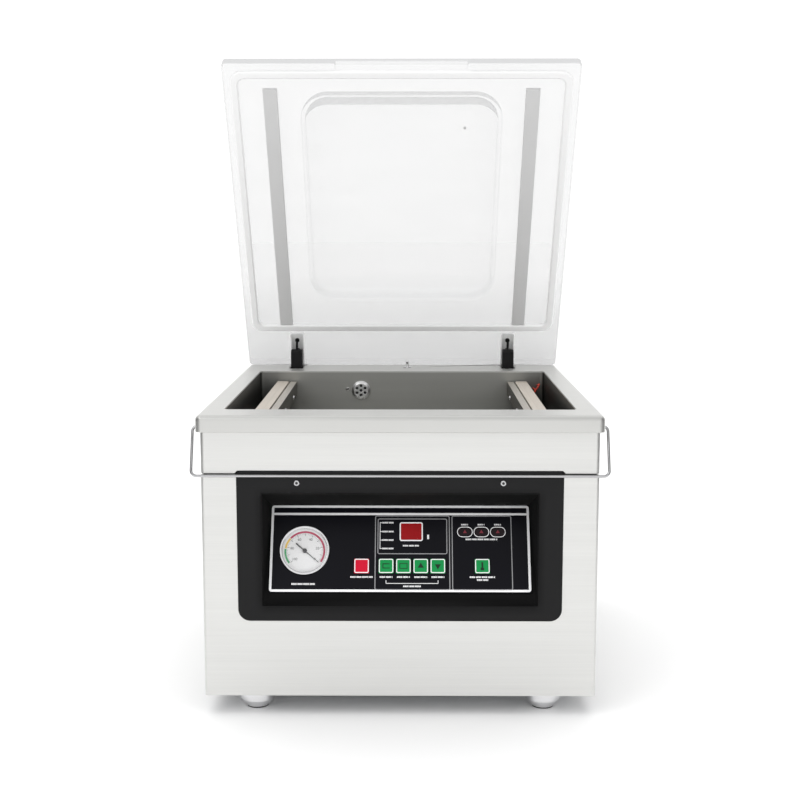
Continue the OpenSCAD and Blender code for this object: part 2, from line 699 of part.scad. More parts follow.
// the wire hangs leaning forward against its stop
module wire_bail() color("silver") at_bail() rotate([-bail_angle, 0, 0]) {
  translate([0, 0, -bail_leg]) across(wire_d / 2, 2 * (bail_x - bail_r));
  for (s = [-1, 1]) {
    translate([s * (bail_x - bail_r - pivot_run / 2), 0, 0]) across(wire_d / 2, pivot_run);
    bend(s, -1);
    translate([s * bail_x, 0, -bail_leg + bail_r]) cylinder(d = wire_d, h = bail_leg - 2 * bail_r);
    translate([0, 0, -bail_leg]) bend(s, 1);
  }
}

// quarter bend whose inner side faces the middle; up is 1 when its centre is above its level run
module bend(s, up) {
  reach = bail_r + wire_d;
  translate([s * (bail_x - bail_r), 0, up * bail_r]) intersection() {
    rotate([90, 0, 0]) rotate_extrude() translate([bail_r, 0]) circle(d = wire_d);
    block(s > 0 ? 0 : -reach, s > 0 ? reach : 0, -wire_d, wire_d, up > 0 ? -reach : 0, up > 0 ? 0 : reach);
  }
}

// ---------- lid switch ----------

module switch_plunger() color("dimgray") translate([plunger_x, plunger_y, z_deck - 14])
  cylinder(d = plunger_d, h = 14 + plunger_h);

// a switch box under the deck whose round neck comes up through it
module lid_switch() color("silver") translate([plunger_x, plunger_y, 0]) difference() {
  union() {
    block(-14, 14, -8, 8, z_deck - 40, z_deck - 8);
    translate([0, 0, z_deck - 9]) cylinder(d = collar_d, h = 9);
    translate([0, 0, z_deck]) cylinder(d = collar_d + 3, h = 1.5);
  }
  translate([0, 0, z_deck - 14 - plunger_travel - clear]) cylinder(r = plunger_d / 2 + run_fit, h = 30);
}

// ---------- inside the cabinet ----------

module transformer() color("peru") translate([-150, y_body + 150, z_floor]) {
  block(-45, 45, -38, 38, 0, 4);
  block(-42, 42, -16, 16, 4, 76);
  block(-24, 24, -32, 32, 16, 62);
}

module contactors() color([0.85, 0.85, 0.82]) for (x = [90, 150]) translate([x, y_body + 160, z_floor]) {
  block(-23, 23, -38, 38, 0, 52);
  block(-23, 23, -24, 24, 52, 78);
}

module solenoid_valves() color("goldenrod") for (x = [-40, 0, 40]) translate([x, y_body + 160, z_floor]) {
  block(-14, 14, -14, 14, 0, 22);
  translate([0, 0, 22]) cylinder(r = 6, h = 12);
  block(-13, 13, -18, 14, 34, 62);
}

module pump_housing() color("slategray") difference() {
  union() {
    block(pump_x0, pump_x0 + pump_len, pump_y - pump_d / 2, pump_y + pump_d / 2, pump_z, pump_z + pump_h);
    translate([suction_x, hose_y, pump_z + pump_h - eps]) cylinder(d = 22, h = 22);
  }
  // working bore and shaft bore
  translate([pump_x0 + 15 + 50, pump_y, shaft_z]) across(45, 100);
  translate([pump_x0 + pump_len, pump_y, shaft_z]) across(shaft_r + run_fit, 80);
}

module motor_housing() color("steelblue")
translate([pump_x0 + pump_len + motor_len / 2, pump_y, shaft_z]) difference() {
  union() {
    across(motor_r, motor_len);
    for (a = [0:20:340]) rotate([a, 0, 0])
      block(-motor_len / 2 + 15, motor_len / 2 - 15, -1.5, 1.5, motor_r - 3, motor_r + 5);
  }
  across(shaft_r + run_fit, motor_len + 2);
  translate([4, 0, 0]) across(46, motor_len - 30);
}

module fan_cowl() color([0.2, 0.2, 0.2]) translate([cowl_x, pump_y, shaft_z]) difference() {
  translate([cowl_len / 2, 0, 0]) across(motor_r + 5, cowl_len);
  translate([cowl_len / 2 - 2, 0, 0]) across(motor_r + 2, cowl_len);
  for (a = [0:30:330]) rotate([a, 0, 0]) translate([cowl_len, 0, 40]) across(7, 10);
}

module pump_mounts() color("black") for (x = [pump_x0 + 20, pump_x0 + pump_len - 20], y = [-45, 45])
  translate([x, pump_y + y, z_floor]) cylinder(d = 28, h = mount_h);

module vacuum_hose() color([0.3, 0.3, 0.3]) translate([suction_x, 0, 0]) {
  translate([0, y_ch1 + tub_wall, suction_z]) along_y(hose_r, 6);
  translate([0, hose_y - hose_bend, suction_z - hose_bend]) rotate([0, -90, 0])
    rotate_extrude(angle = 90) translate([hose_bend, 0]) circle(hose_r);
  translate([0, hose_y, pump_z + pump_h + 22])
    cylinder(r = hose_r, h = suction_z - hose_bend - pump_z - pump_h - 22);
}

// the shaft carries the pump's rotor and vanes at one end and the motor's rotor in the middle
module pump_shaft() color("lightgray") translate([0, pump_y, shaft_z]) {
  shaft_x0 = pump_x0 + 17;
  shaft_x1 = cowl_x + cowl_len - 12;
  translate([(shaft_x0 + shaft_x1) / 2, 0, 0]) across(shaft_r, shaft_x1 - shaft_x0);
  translate([pump_x0 + 65, 0, 0]) across(34, 94);
  translate([cowl_x - motor_len / 2 + 4, 0, 0]) across(40, motor_len - 60);
}

module motor_fan() color("white") translate([cowl_x + 18, pump_y, shaft_z]) difference() {
  union() {
    across(20, 16);
    for (a = [0:45:315]) rotate([a, 0, 0]) block(-7, 7, -1.5, 1.5, 17, motor_r - 6);
  }
  across(shaft_r + 0.02, 30);
}

// ---------- power inlet ----------

module power_inlet() color([0.12, 0.12, 0.12]) translate([inlet_x, y_rear + sheet, inlet_z]) {
  difference() {
    union() {
      block(-inlet_w / 2, inlet_w / 2, 0, 3, -inlet_h / 2, inlet_h / 2);
      block(-inlet_w / 2 + 4.3, inlet_w / 2 - 4.3, -28, 0, -inlet_h / 2 + 4.3, inlet_h / 2 - 4.3);
    }
    block(-12, 12, -14, 4, socket_z - 8.5, socket_z + 8.5);
    block(-10.4, 10.4, -10, 4, rocker_z - 10.6, rocker_z + 10.6);
    translate([0, -3, rocker_z]) across(rocker_pin_r + run_fit, 25);
  }
  for (x = [-7, 0, 7]) translate([x, 0, socket_z + (x == 0 ? 3 : 0)]) block(-1, 1, -15, -5, -2, 2);
}

module power_rocker() color([0.75, 0.1, 0.1]) translate([inlet_x, y_rear + sheet - 3, inlet_z + rocker_z])
  rotate([-rocker_tilt, 0, 0]) {
    rotate([0, 0, 90]) rotate([90, 0, 0])
      linear_extrude(20, center = true) polygon([[-4, -7], [5.5, -9.4], [4.2, 0], [5.5, 9.4], [-4, 7]]);
    across(rocker_pin_r, 24);
  }

base_pan();
cabinet_shell();
rear_panel();
foot_cups();
foot_pads();
upper_skirt();
seam_strip();
deck_rim();
chamber_tub();
suction_cap();
lift_cylinders();
hinge_lugs();
hinge_pins();
torsion_springs();
panel_bezel();
pan_head_screws();
control_plate();
indicator_lenses();
gauge_case();
gauge_dial();
gauge_glass();
control_board();
transformer();
contactors();
solenoid_valves();
pump_housing();
motor_housing();
fan_cowl();
pump_mounts();
vacuum_hose();
power_inlet();
heater_leads();
lid_switch();
bail_bushings();
lid_panel();
lid_gasket();
counter_strips();
hinge_brackets();
hinge_blocks();
bracket_bolts();
wire_bail();
bar_channel(-1);  // bar_channel_left
heater_face(-1);  // heater_face_left
clamp_rail(-1);  // clamp_rail_left
lift_rods(-1);  // lift_rods_left
bar_channel(1);  // bar_channel_right
heater_face(1);  // heater_face_right
clamp_rail(1);  // clamp_rail_right
lift_rods(1);  // lift_rods_right
gauge_needle();
push_button(0, "crimson");  // stop_button
push_button(1, "seagreen");  // function_button
push_button(2, "seagreen");  // set_button
push_button(3, "seagreen");  // increase_button
push_button(4, "seagreen");  // decrease_button
push_button(5, "seagreen");  // temperature_button
switch_plunger();
power_rocker();
pump_shaft();
motor_fan();
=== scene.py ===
"""The looks of a tabletop chamber vacuum sealer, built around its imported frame."""

import json
import math

import bpy
from mathutils import Matrix, Vector


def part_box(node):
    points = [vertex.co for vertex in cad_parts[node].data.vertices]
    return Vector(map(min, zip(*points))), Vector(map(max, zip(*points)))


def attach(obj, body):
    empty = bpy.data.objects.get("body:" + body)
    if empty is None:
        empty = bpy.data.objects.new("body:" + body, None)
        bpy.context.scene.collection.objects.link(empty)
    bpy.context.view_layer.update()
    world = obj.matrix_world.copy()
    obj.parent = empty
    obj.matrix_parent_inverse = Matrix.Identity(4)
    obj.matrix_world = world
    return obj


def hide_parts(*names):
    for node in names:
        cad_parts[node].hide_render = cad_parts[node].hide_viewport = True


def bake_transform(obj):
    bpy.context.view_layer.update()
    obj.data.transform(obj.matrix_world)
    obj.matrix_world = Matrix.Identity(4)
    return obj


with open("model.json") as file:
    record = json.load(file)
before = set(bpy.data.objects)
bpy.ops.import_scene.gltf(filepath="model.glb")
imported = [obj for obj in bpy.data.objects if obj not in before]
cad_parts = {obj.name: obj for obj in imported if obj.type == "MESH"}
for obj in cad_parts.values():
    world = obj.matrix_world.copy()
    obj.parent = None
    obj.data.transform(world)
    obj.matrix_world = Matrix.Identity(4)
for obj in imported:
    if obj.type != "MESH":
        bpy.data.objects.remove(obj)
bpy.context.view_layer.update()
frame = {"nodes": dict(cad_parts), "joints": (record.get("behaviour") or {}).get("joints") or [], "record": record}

MM = 0.001
JOINT = {joint["name"]: joint for joint in frame["joints"]}
SLOT_OF = {row["node"]: row["material_slot"] for row in frame["record"]["subparts"]}
BODY_OF = {node: body for body, nodes in frame["record"]["behaviour"]["bodies"].items() for node in nodes}


# ---------- places taken from the frame ----------

DECK_LOW, DECK_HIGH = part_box("deck_rim")
BEZEL_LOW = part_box("panel_bezel")[0]
TUB_LOW, TUB_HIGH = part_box("chamber_tub")
TUB_WALL = TUB_HIGH.y - 2 * MM
SHELL_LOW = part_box("cabinet_shell")[0]
PLATE_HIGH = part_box("control_plate")[1]
INWARD = Vector(JOINT["stop_press"]["axis"]).normalized()
TILT = math.atan2(-INWARD.z, INWARD.y)
PLATE_THICK = 2.5 * MM
PLATE_TOP = Vector((0, PLATE_HIGH.y - PLATE_THICK * math.cos(TILT), PLATE_HIGH.z))
PLATE = Matrix.Translation(PLATE_TOP) @ Matrix.Rotation(-TILT, 4, "X")
HINGE = Vector(JOINT["lid_hinge"]["pos_m"])
OPEN_ANGLE = math.radians(JOINT["lid_hinge"]["range_deg"][1])
OPENED = Matrix.Translation(HINGE) @ Matrix.Rotation(-OPEN_ANGLE, 4, "X") @ Matrix.Translation(-HINGE)
LID_LOW, LID_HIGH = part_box("lid_panel")
LID_SHADE = LID_LOW.z + 155 * MM  # below this height the open lid gets a painted reflected shade
RECESS_X = 171.5 * MM
RECESS_TOP = DECK_HIGH.z - 97.7 * MM
RECESS_FOOT = DECK_HIGH.z - 241 * MM
GAUGE = Vector(JOINT["gauge_sweep"]["pos_m"])
GAUGE_TURNED = Matrix.Translation(GAUGE) @ Matrix.Rotation(-TILT, 4, "X")


# ---------- shader maths ----------


class Wire:
    """One output in a material's node tree. Arithmetic on it adds Math nodes."""

    def __init__(self, tree, socket):
        self.tree = tree
        self.socket = socket

    def math(self, operation, other=0.0, flip=False):
        pair = (other, self) if flip else (self, other)
        return add_node(self.tree, "ShaderNodeMath", {"operation": operation}, {0: pair[0], 1: pair[1]})

    def __add__(self, other):
        return self.math("ADD", other)

    def __radd__(self, other):
        return self.math("ADD", other)

    def __sub__(self, other):
        return self.math("SUBTRACT", other)

    def __rsub__(self, other):
        return self.math("SUBTRACT", other, flip=True)

    def __mul__(self, other):
        return self.math("MULTIPLY", other)

    def __rmul__(self, other):
        return self.math("MULTIPLY", other)

    def __pow__(self, other):
        return self.math("POWER", other)

    def above(self, level):
        return self.math("GREATER_THAN", level)

    def size(self):
        return self.math("ABSOLUTE")

    def held(self):
        """The value kept between 0 and 1."""
        return self.math("MAXIMUM", 0.0).math("MINIMUM", 1.0)

    def wave(self):
        return self.math("SINE")


def add_node(tree, kind, settings=None, sockets=None, out=0):
    """Adds a node: its settings first, then the values or links of its sockets. Returns one output."""
    made = tree.nodes.new(kind)
    for key, value in (settings or {}).items():
        if key == "stops":
            ramp = made.color_ramp
            for spot, (place, colour) in zip(ramp.elements, value):
                spot.position, spot.color = place, colour
            for place, colour in value[2:]:
                ramp.elements.new(place).color = colour
        else:
            setattr(made, key, value)
    for key, value in (sockets or {}).items():
        if isinstance(value, Wire):
            tree.links.new(value.socket, made.inputs[key])
        else:
            made.inputs[key].default_value = value
    return Wire(tree, made.outputs[out]) if made.outputs else None


class Finish:
    """One material: its coordinates, noises and mixes, and the surface that they feed."""

    def __init__(self, name):
        self.material = bpy.data.materials.new(name)
        self.material.use_nodes = True
        self.tree = self.material.node_tree
        self.tree.nodes.clear()
        self.place = add_node(self.tree, "ShaderNodeTexCoord", out="Object")

    def stretched(self, x=1.0, y=1.0, z=1.0):
        sockets = {0: self.place, 1: (x, y, z)}
        return add_node(self.tree, "ShaderNodeVectorMath", {"operation": "MULTIPLY"}, sockets)

    def noise(self, scale, detail=3.0, vector=None):
        sockets = {"Vector": vector or self.place, "Scale": scale, "Detail": detail}
        return add_node(self.tree, "ShaderNodeTexNoise", {}, sockets)

    def along(self, axis):
        return add_node(self.tree, "ShaderNodeSeparateXYZ", {}, {0: self.place}, out=axis)

    def facing(self, axis):
        """How far the face points along an axis, either way: 0 to 1."""
        normal = add_node(self.tree, "ShaderNodeNewGeometry", out="Normal")
        return add_node(self.tree, "ShaderNodeSeparateXYZ", {}, {0: normal}, out=axis).size()

    def level_share(self):
        """1 on level faces, 0 on upright ones."""
        return self.facing("Z").above(0.6)

    def mix(self, factor, a, b):
        return add_node(self.tree, "ShaderNodeMix", {"data_type": "FLOAT"}, {0: factor, 2: a, 3: b})

    def blend(self, factor, a, b):
        """A colour between two colours."""
        first, second = [c if isinstance(c, Wire) else (*c, 1.0) for c in (a, b)]
        sockets = {0: factor, 6: first, 7: second}
        return add_node(self.tree, "ShaderNodeMix", {"data_type": "RGBA"}, sockets, out=2)

    def bump(self, height, depth, strength=1.0):
        sockets = {"Strength": strength, "Distance": depth, "Height": height}
        return add_node(self.tree, "ShaderNodeBump", {}, sockets)

    def surface(self, **values):
        names = {
            "colour": "Base Color",
            "roughness": "Roughness",
            "metallic": "Metallic",
            "normal": "Normal",
            "alpha": "Alpha",
            "glow": "Emission Color",
            "glow_strength": "Emission Strength",
            "specular": "Specular IOR Level",
        }
        sockets = {names[key]: (*v, 1.0) if isinstance(v, tuple) else v for key, v in values.items()}
        shader = add_node(self.tree, "ShaderNodeBsdfPrincipled", {}, sockets)
        add_node(self.tree, "ShaderNodeOutputMaterial", {}, {"Surface": shader})
        return self.material


def tinted(colour, by):
    return tuple(min(1.0, c * by) for c in colour)


# ---------- finishes ----------


def brushed_steel(name, colour, roughness, grain=0.05, stain=0.03, side=1.0, front=1.0, pockets=False):
    """Sheet with a horizontal brush grain: lines along the width on level faces too.
    Painted shade dims the faces that look sideways to the share side, and front does the same
    for faces that look forward. Painted shade also darkens the chamber's narrow pockets, more so lower down."""
    f = Finish(name)
    fine_upright = f.noise(1.0, 2.0, f.stretched(9, 9, 900))
    fine_level = f.noise(1.0, 2.0, f.stretched(9, 900, 9))
    broad_upright = f.noise(1.0, 2.0, f.stretched(2.5, 2.5, 120))
    broad_level = f.noise(1.0, 2.0, f.stretched(2.5, 120, 2.5))
    level = f.level_share()
    fine = f.mix(level, fine_upright, fine_level)
    broad = f.mix(level, broad_upright, broad_level)
    clouds = f.noise(5.0, 3.0)
    shade = 0.5 + (fine - 0.5) * 0.9 + (broad - 0.5) * 0.8 + (clouds - 0.5) * (stain / grain)
    base = f.blend(shade, tinted(colour, 1 - grain), tinted(colour, 1 + grain))
    # painted shade: faces that look sideways are made darker
    if side < 1:
        base = f.blend(f.facing("X").above(0.7), base, tinted(colour, side))
    # painted shade: faces that look forward are made darker
    if front < 1:
        base = f.blend(f.facing("Y").above(0.7), base, tinted(colour, front))
    # painted shade: darker near the chamber's side walls, more so lower down
    if pockets:
        beside = ((f.along("X").size() - (TUB_HIGH.x - 62 * MM)) * 30.0).held()
        deep = (((DECK_HIGH.z - 6 * MM) - f.along("Z")) * 26.0).held()
        base = f.blend(beside * (0.25 + deep * 0.75) * 0.8, base, tinted(colour, 0.10))
    rough = roughness + (fine - 0.5) * 0.12 + (clouds - 0.5) * 0.10
    return f.surface(colour=base, roughness=rough, metallic=1.0, normal=f.bump(fine, 0.012 * MM, 0.35))


def polished(name, colour, roughness=0.09):
    """Bright plating with faint wipe marks."""
    f = Finish(name)
    marks = f.noise(1.0, 3.0, f.stretched(160, 160, 40))
    clouds = f.noise(30.0, 2.0)
    base = f.blend(clouds, tinted(colour, 0.93), tinted(colour, 1.05))
    rough = roughness + (marks - 0.5) * 0.08 + (clouds - 0.5) * 0.05
    return f.surface(colour=base, roughness=rough, metallic=1.0)


def cast(name, colour, roughness, metallic, scale, depth):
    """A grainy cast or painted metal face."""
    f = Finish(name)
    grain = f.noise(scale, 4.0)
    clouds = f.noise(scale / 18, 2.0)
    base = f.blend(grain * 0.6 + clouds * 0.4, tinted(colour, 0.82), tinted(colour, 1.15))
    rough = roughness + (grain - 0.5) * 0.2
    return f.surface(colour=base, roughness=rough, metallic=metallic, normal=f.bump(grain, depth * MM, 0.4))


def moulded(name, colour, roughness, grain_scale=900.0, depth=0.02, spread=0.10, specular=0.5):
    """Plastic or rubber with a fine moulded texture and slight wear in its gloss."""
    f = Finish(name)
    grain = f.noise(grain_scale, 3.0)
    wear = f.noise(22.0, 3.0)
    base = f.blend(grain * 0.5 + wear * 0.5, tinted(colour, 1 - spread), tinted(colour, 1 + spread))
    rough = roughness + (grain - 0.5) * 0.10 + (wear - 0.5) * 0.16
    return f.surface(colour=base, roughness=rough, specular=specular, normal=f.bump(grain, depth * MM, 0.5))


def recessed(name, colour, roughness):
    """The bezel's grained plastic, with painted shade that darkens it where it goes in."""
    f = Finish(name)
    grain = f.noise(1100.0, 3.0)
    wear = f.noise(22.0, 3.0)
    # painted shade: darker with depth into the recess and inside its mouth
    depth = ((f.along("Y") - (BEZEL_LOW.y + 1 * MM)) * 90.0).held()
    across = ((RECESS_X + 9 * MM - f.along("X").size()) * 70.0).held()
    under = ((RECESS_TOP + 7 * MM - f.along("Z")) * 70.0).held()
    over = ((f.along("Z") - (RECESS_FOOT - 12 * MM)) * 55.0).held()
    depth = depth.math("MAXIMUM", across * under * over)
    base = f.blend(grain * 0.5 + wear * 0.5, tinted(colour, 0.85), tinted(colour, 1.15))
    deep = f.blend(depth, base, tinted(colour, 0.25))
    rough = roughness + depth * 0.3 + (wear - 0.5) * 0.1
    return f.surface(colour=deep, roughness=rough, specular=0.14, normal=f.bump(grain, 0.02 * MM, 0.5))


def printed(name, colour, roughness=0.35):
    """Ink: flat, a little uneven where it was screened."""
    f = Finish(name)
    screen = f.noise(1500.0, 2.0)
    base = f.blend(screen, tinted(colour, 0.94), tinted(colour, 1.04))
    return f.surface(colour=base, roughness=roughness + (screen - 0.5) * 0.1)


def taped(name, colour):
    """Glass cloth with a slippery coat: a square weave that shows through."""
    f = Finish(name)
    pitch = 2 * math.pi / (1.1 * MM)
    warp = (f.along("X") * pitch).wave()
    weft = (f.along("Y") * pitch).wave()
    weave = 0.5 + warp * weft * 0.5
    clouds = f.noise(40.0, 3.0)
    base = f.blend(weave * 0.35 + clouds * 0.65, tinted(colour, 0.82), tinted(colour, 1.16))
    rough = 0.42 + (clouds - 0.5) * 0.2
    return f.surface(colour=base, roughness=rough, normal=f.bump(weave, 0.05 * MM, 0.6))


def clear_sheet(name, colour, haze=0.15):
    """Clear cast sheet, faintly smeared by use, whose walls seen edge-on look thick and grey."""
    f = Finish(name)
    smears = f.noise(1.0, 3.0, f.stretched(6, 6, 30))
    base = f.blend(smears, tinted(colour, 0.97), colour)
    grazing = add_node(f.tree, "ShaderNodeLayerWeight", {}, {"Blend": 0.5}, out="Facing")
    normal = add_node(f.tree, "ShaderNodeNewGeometry", out="Normal")
    sheet = (0.0, -math.sin(OPEN_ANGLE), -math.cos(OPEN_ANGLE))
    product, sockets = {"operation": "DOT_PRODUCT"}, {0: normal, 1: sheet}
    along_sheet = add_node(f.tree, "ShaderNodeVectorMath", product, sockets, out=1)
    rim = (1.0 - along_sheet.size()).math("MAXIMUM", 0.0)
    # painted reflected shade: the lid's lower part is made greyer
    shade = ((LID_SHADE - f.along("Z")) * 7.0).held()
    front = rim * f.along("Z").above(LID_HIGH.z - 10 * MM)
    alpha = haze + (grazing ** 4.0) * 0.24 + rim * 0.10 + front * 0.6 + shade * 0.16 + (smears - 0.5) * 0.03
    return f.surface(colour=base, roughness=0.05 + smears * 0.05, alpha=alpha)


def pane(name, colour, alpha):
    """A thin clear cover that mostly lets light by."""
    f = Finish(name)
    smears = f.noise(60.0, 2.0)
    return f.surface(colour=colour, roughness=0.03 + smears * 0.04, alpha=alpha + smears * 0.03)


def lens(name, colour):
    """Deep red window with a soft light behind it."""
    f = Finish(name)
    glow = f.noise(90.0, 2.0)
    base = f.blend(glow, tinted(colour, 0.85), tinted(colour, 1.2))
    lit = f.blend(glow, tinted(colour, 0.7), colour)
    return f.surface(colour=base, roughness=0.3 + glow * 0.06, specular=0.12, glow=lit, glow_strength=0.15)


def finishes():
    """Every finish by the name of its slot in the record, and the inks."""
    return {
        "brushed_sheet": brushed_steel("brushed_sheet", (0.68, 0.68, 0.665), 0.40),
        # front=0.80 is painted shade on the deck's forward-looking faces
        "deck_steel": brushed_steel("deck_steel", (0.74, 0.74, 0.72), 0.42, 0.04, 0.05, front=0.80),
        # the 0.3 for sideways faces and the pocket setting are painted shade on the chamber's walls and pockets
        "chamber_steel": brushed_steel("chamber_steel", (0.38, 0.38, 0.36), 0.46, 0.05, 0.09, 0.3,
                                       pockets=True),
        "plain_steel": brushed_steel("plain_steel", (0.52, 0.52, 0.52), 0.34, 0.08),
        "zinc_sheet": cast("zinc_sheet", (0.60, 0.61, 0.62), 0.42, 1.0, 160.0, 0.01),
        "chrome": polished("chrome", (0.80, 0.80, 0.81)),
        # side=0.22 is painted shade on the bar's sideways faces
        "bar_aluminium": brushed_steel("bar_aluminium", (0.66, 0.62, 0.56), 0.42, 0.07, side=0.22),
        "wire_steel": polished("wire_steel", (0.50, 0.50, 0.51), 0.14),
        "heater_tape": taped("heater_tape", (0.50, 0.45, 0.39)),
        "clear_acrylic": clear_sheet("clear_acrylic", (0.50, 0.502, 0.506), 0.20),
        "seal_rubber": moulded("seal_rubber", (0.80, 0.80, 0.80), 0.50, 700.0, 0.01, 0.03),
        "counter_silicone": moulded("counter_silicone", (0.55, 0.55, 0.55), 0.55, 1200.0, 0.03, 0.06),
        "black_rubber": moulded("black_rubber", (0.028, 0.028, 0.028), 0.65, 700.0, 0.03, 0.2),
        "black_plastic": moulded("black_plastic", (0.0075, 0.0075, 0.008), 0.50, 1100.0, 0.02, 0.2, 0.16),
        "panel_film": moulded("panel_film", (0.003, 0.003, 0.0055), 0.34, 1600.0, 0.004, 0.2, 0.12),
        "bezel_shell": recessed("bezel_shell", (0.0105, 0.0105, 0.011), 0.42),
        "cap_metal": polished("cap_metal", (0.88, 0.88, 0.88), 0.28),
        "bracket_plate": cast("bracket_plate", (0.92, 0.92, 0.92), 0.45, 0.15, 300.0, 0.005),
        "lamp_dark": moulded("lamp_dark", (0.010, 0.004, 0.006), 0.25, 1200.0, 0.004, 0.2, 0.2),
        "red_lens": lens("red_lens", (0.27, 0.006, 0.008)),
        "key_green": moulded("key_green", (0.010, 0.27, 0.070), 0.45, 900.0, 0.006, 0.08, 0.12),
        "key_red": moulded("key_red", (0.62, 0.008, 0.035), 0.45, 900.0, 0.006, 0.08, 0.12),
        "dial_white": printed("dial_white", (0.84, 0.84, 0.84), 0.45),
        "gauge_glass": pane("gauge_glass", (0.96, 0.97, 1.0), 0.02),
        "needle_black": moulded("needle_black", (0.012, 0.012, 0.012), 0.35, 800.0, 0.004),
        "board_green": moulded("board_green", (0.02, 0.13, 0.05), 0.35, 500.0, 0.02, 0.15),
        "coil_copper": cast("coil_copper", (0.34, 0.16, 0.07), 0.40, 0.4, 500.0, 0.05),
        "ivory_plastic": moulded("ivory_plastic", (0.62, 0.60, 0.53), 0.45, 900.0, 0.02, 0.05),
        "valve_brass": cast("valve_brass", (0.62, 0.44, 0.17), 0.32, 1.0, 500.0, 0.01),
        "pump_cast": cast("pump_cast", (0.17, 0.20, 0.24), 0.55, 0.3, 380.0, 0.15),
        "motor_blue": cast("motor_blue", (0.07, 0.16, 0.30), 0.40, 0.1, 420.0, 0.05),
        "hose_grey": moulded("hose_grey", (0.10, 0.10, 0.105), 0.6, 500.0, 0.05, 0.15),
        "lead_red": moulded("lead_red", (0.55, 0.05, 0.025), 0.42, 900.0, 0.01, 0.12),
        "rocker_red": moulded("rocker_red", (0.45, 0.02, 0.02), 0.28, 900.0, 0.006, 0.1),
        "ink_white": printed("ink_white", (0.93, 0.93, 0.94), 0.5),
        "ink_grey": printed("ink_grey", (0.30, 0.30, 0.31)),
        "ink_black": printed("ink_black", (0.012, 0.012, 0.012)),
        "ink_red": printed("ink_red", (0.46, 0.02, 0.08)),
        "ink_dull_red": printed("ink_dull_red", (0.20, 0.01, 0.025), 0.5),
        "ink_yellow": printed("ink_yellow", (0.80, 0.52, 0.08)),
        "ink_green": printed("ink_green", (0.05, 0.36, 0.13)),
        "symbol_green": printed("symbol_green", (0.002, 0.022, 0.008), 0.7),
    }


FINISH = finishes()


# ---------- modelling ----------


def only(*objects):
    """Selects these objects alone and makes the first one active."""
    bpy.ops.object.select_all(action="DESELECT")
    for item in objects:
        item.select_set(True)
    bpy.context.view_layer.objects.active = objects[0]


def placed(piece, matrix=None):
    """Puts the piece's place, turn and scale into its mesh, after moving it by matrix if one is given."""
    only(piece)
    if matrix is not None:
        bpy.context.view_layer.update()
        piece.matrix_world = matrix @ piece.matrix_world
    bpy.ops.object.transform_apply(location=True, rotation=True, scale=True)
    return piece


def block(name, low, high):
    """A box between two corners."""
    bpy.ops.object.select_all(action="DESELECT")
    low, high = Vector(low), Vector(high)
    bpy.ops.mesh.primitive_cube_add(size=1, location=(low + high) / 2)
    piece = bpy.context.object
    piece.name = name
    piece.scale = high - low
    return placed(piece)


def disc(name, centre, radius, depth, axis=(0, 0, 1), sides=64):
    """A cylinder around centre with its ends across axis."""
    bpy.ops.object.select_all(action="DESELECT")
    turn = Vector(axis).to_track_quat("Z", "Y").to_euler()
    bpy.ops.mesh.primitive_cone_add(
        vertices=sides, radius1=radius, radius2=radius, depth=depth, location=centre, rotation=turn)
    piece = bpy.context.object
    piece.name = name
    return placed(piece)


def pick(piece, kind, test):
    """Selects the faces or edges that pass the test.
    The test of a face is given its centre and normal, and that of an edge its two ends."""
    mesh = piece.data
    for parts in (mesh.vertices, mesh.edges, mesh.polygons):
        parts.foreach_set("select", [False] * len(parts))
    if kind == "FACE":
        for face in mesh.polygons:
            face.select = bool(test(face.center, face.normal))
        return
    for edge in mesh.edges:
        ends = [mesh.vertices[i].co for i in edge.vertices]
        edge.select = bool(test(*ends))


def shape(piece, kind, test, *steps):
    """Runs edit-mode steps on the faces or edges that pass the test."""
    pick(piece, kind, test)
    only(piece)
    bpy.context.tool_settings.mesh_select_mode = (False, kind == "EDGE", kind == "FACE")
    bpy.ops.object.mode_set(mode="EDIT")
    for step in steps:
        step()
    bpy.ops.object.mode_set(mode="OBJECT")
    return piece


def everything(*_):
    return True


def select_all():
    bpy.ops.mesh.select_all(action="SELECT")


def faces_down(_, normal):
    return normal.z < -0.9


def pushed(z):
    """An edit-mode step that pulls the selected faces up or down into new walls."""
    return lambda: bpy.ops.mesh.extrude_region_move(TRANSFORM_OT_translate={"value": (0, 0, z)})


def inset(width):
    return lambda: bpy.ops.mesh.inset(thickness=width)


def rounding(radius, segments=4):
    return lambda: bpy.ops.mesh.bevel(offset=radius, offset_type="OFFSET", segments=segments, affect="EDGES")


def eased(piece, width, segments=2, angle=30.0):
    """Rounds every sharp edge a little and shades the piece smooth."""
    ease = piece.modifiers.new("ease", "BEVEL")
    ease.width = width
    ease.segments = segments
    ease.limit_method = "ANGLE"
    ease.angle_limit = math.radians(angle)
    only(piece)
    bpy.ops.object.modifier_apply(modifier=ease.name)
    return smooth(piece)


def smooth(piece, angle=38.0):
    """Shades the piece smooth between sharp edges, and keeps its large flat faces flat."""
    only(piece)
    bpy.ops.object.shade_smooth_by_angle(angle=math.radians(angle))
    level = piece.modifiers.new("level", "WEIGHTED_NORMAL")
    level.keep_sharp = True
    level.weight = 80
    bpy.ops.object.modifier_apply(modifier=level.name)
    return piece


def carve(piece, cutter, operation="DIFFERENCE"):
    """Cuts the cutter out of the piece, or joins it on, and removes the cutter."""
    cut = piece.modifiers.new("cut", "BOOLEAN")
    cut.operation = operation
    cut.object = cutter
    cut.solver = "EXACT"
    only(piece)
    bpy.ops.object.modifier_apply(modifier=cut.name)
    bpy.data.objects.remove(cutter)
    return piece


def joined(name, pieces):
    only(*pieces)
    bpy.ops.object.join()
    pieces[0].name = name
    return pieces[0]


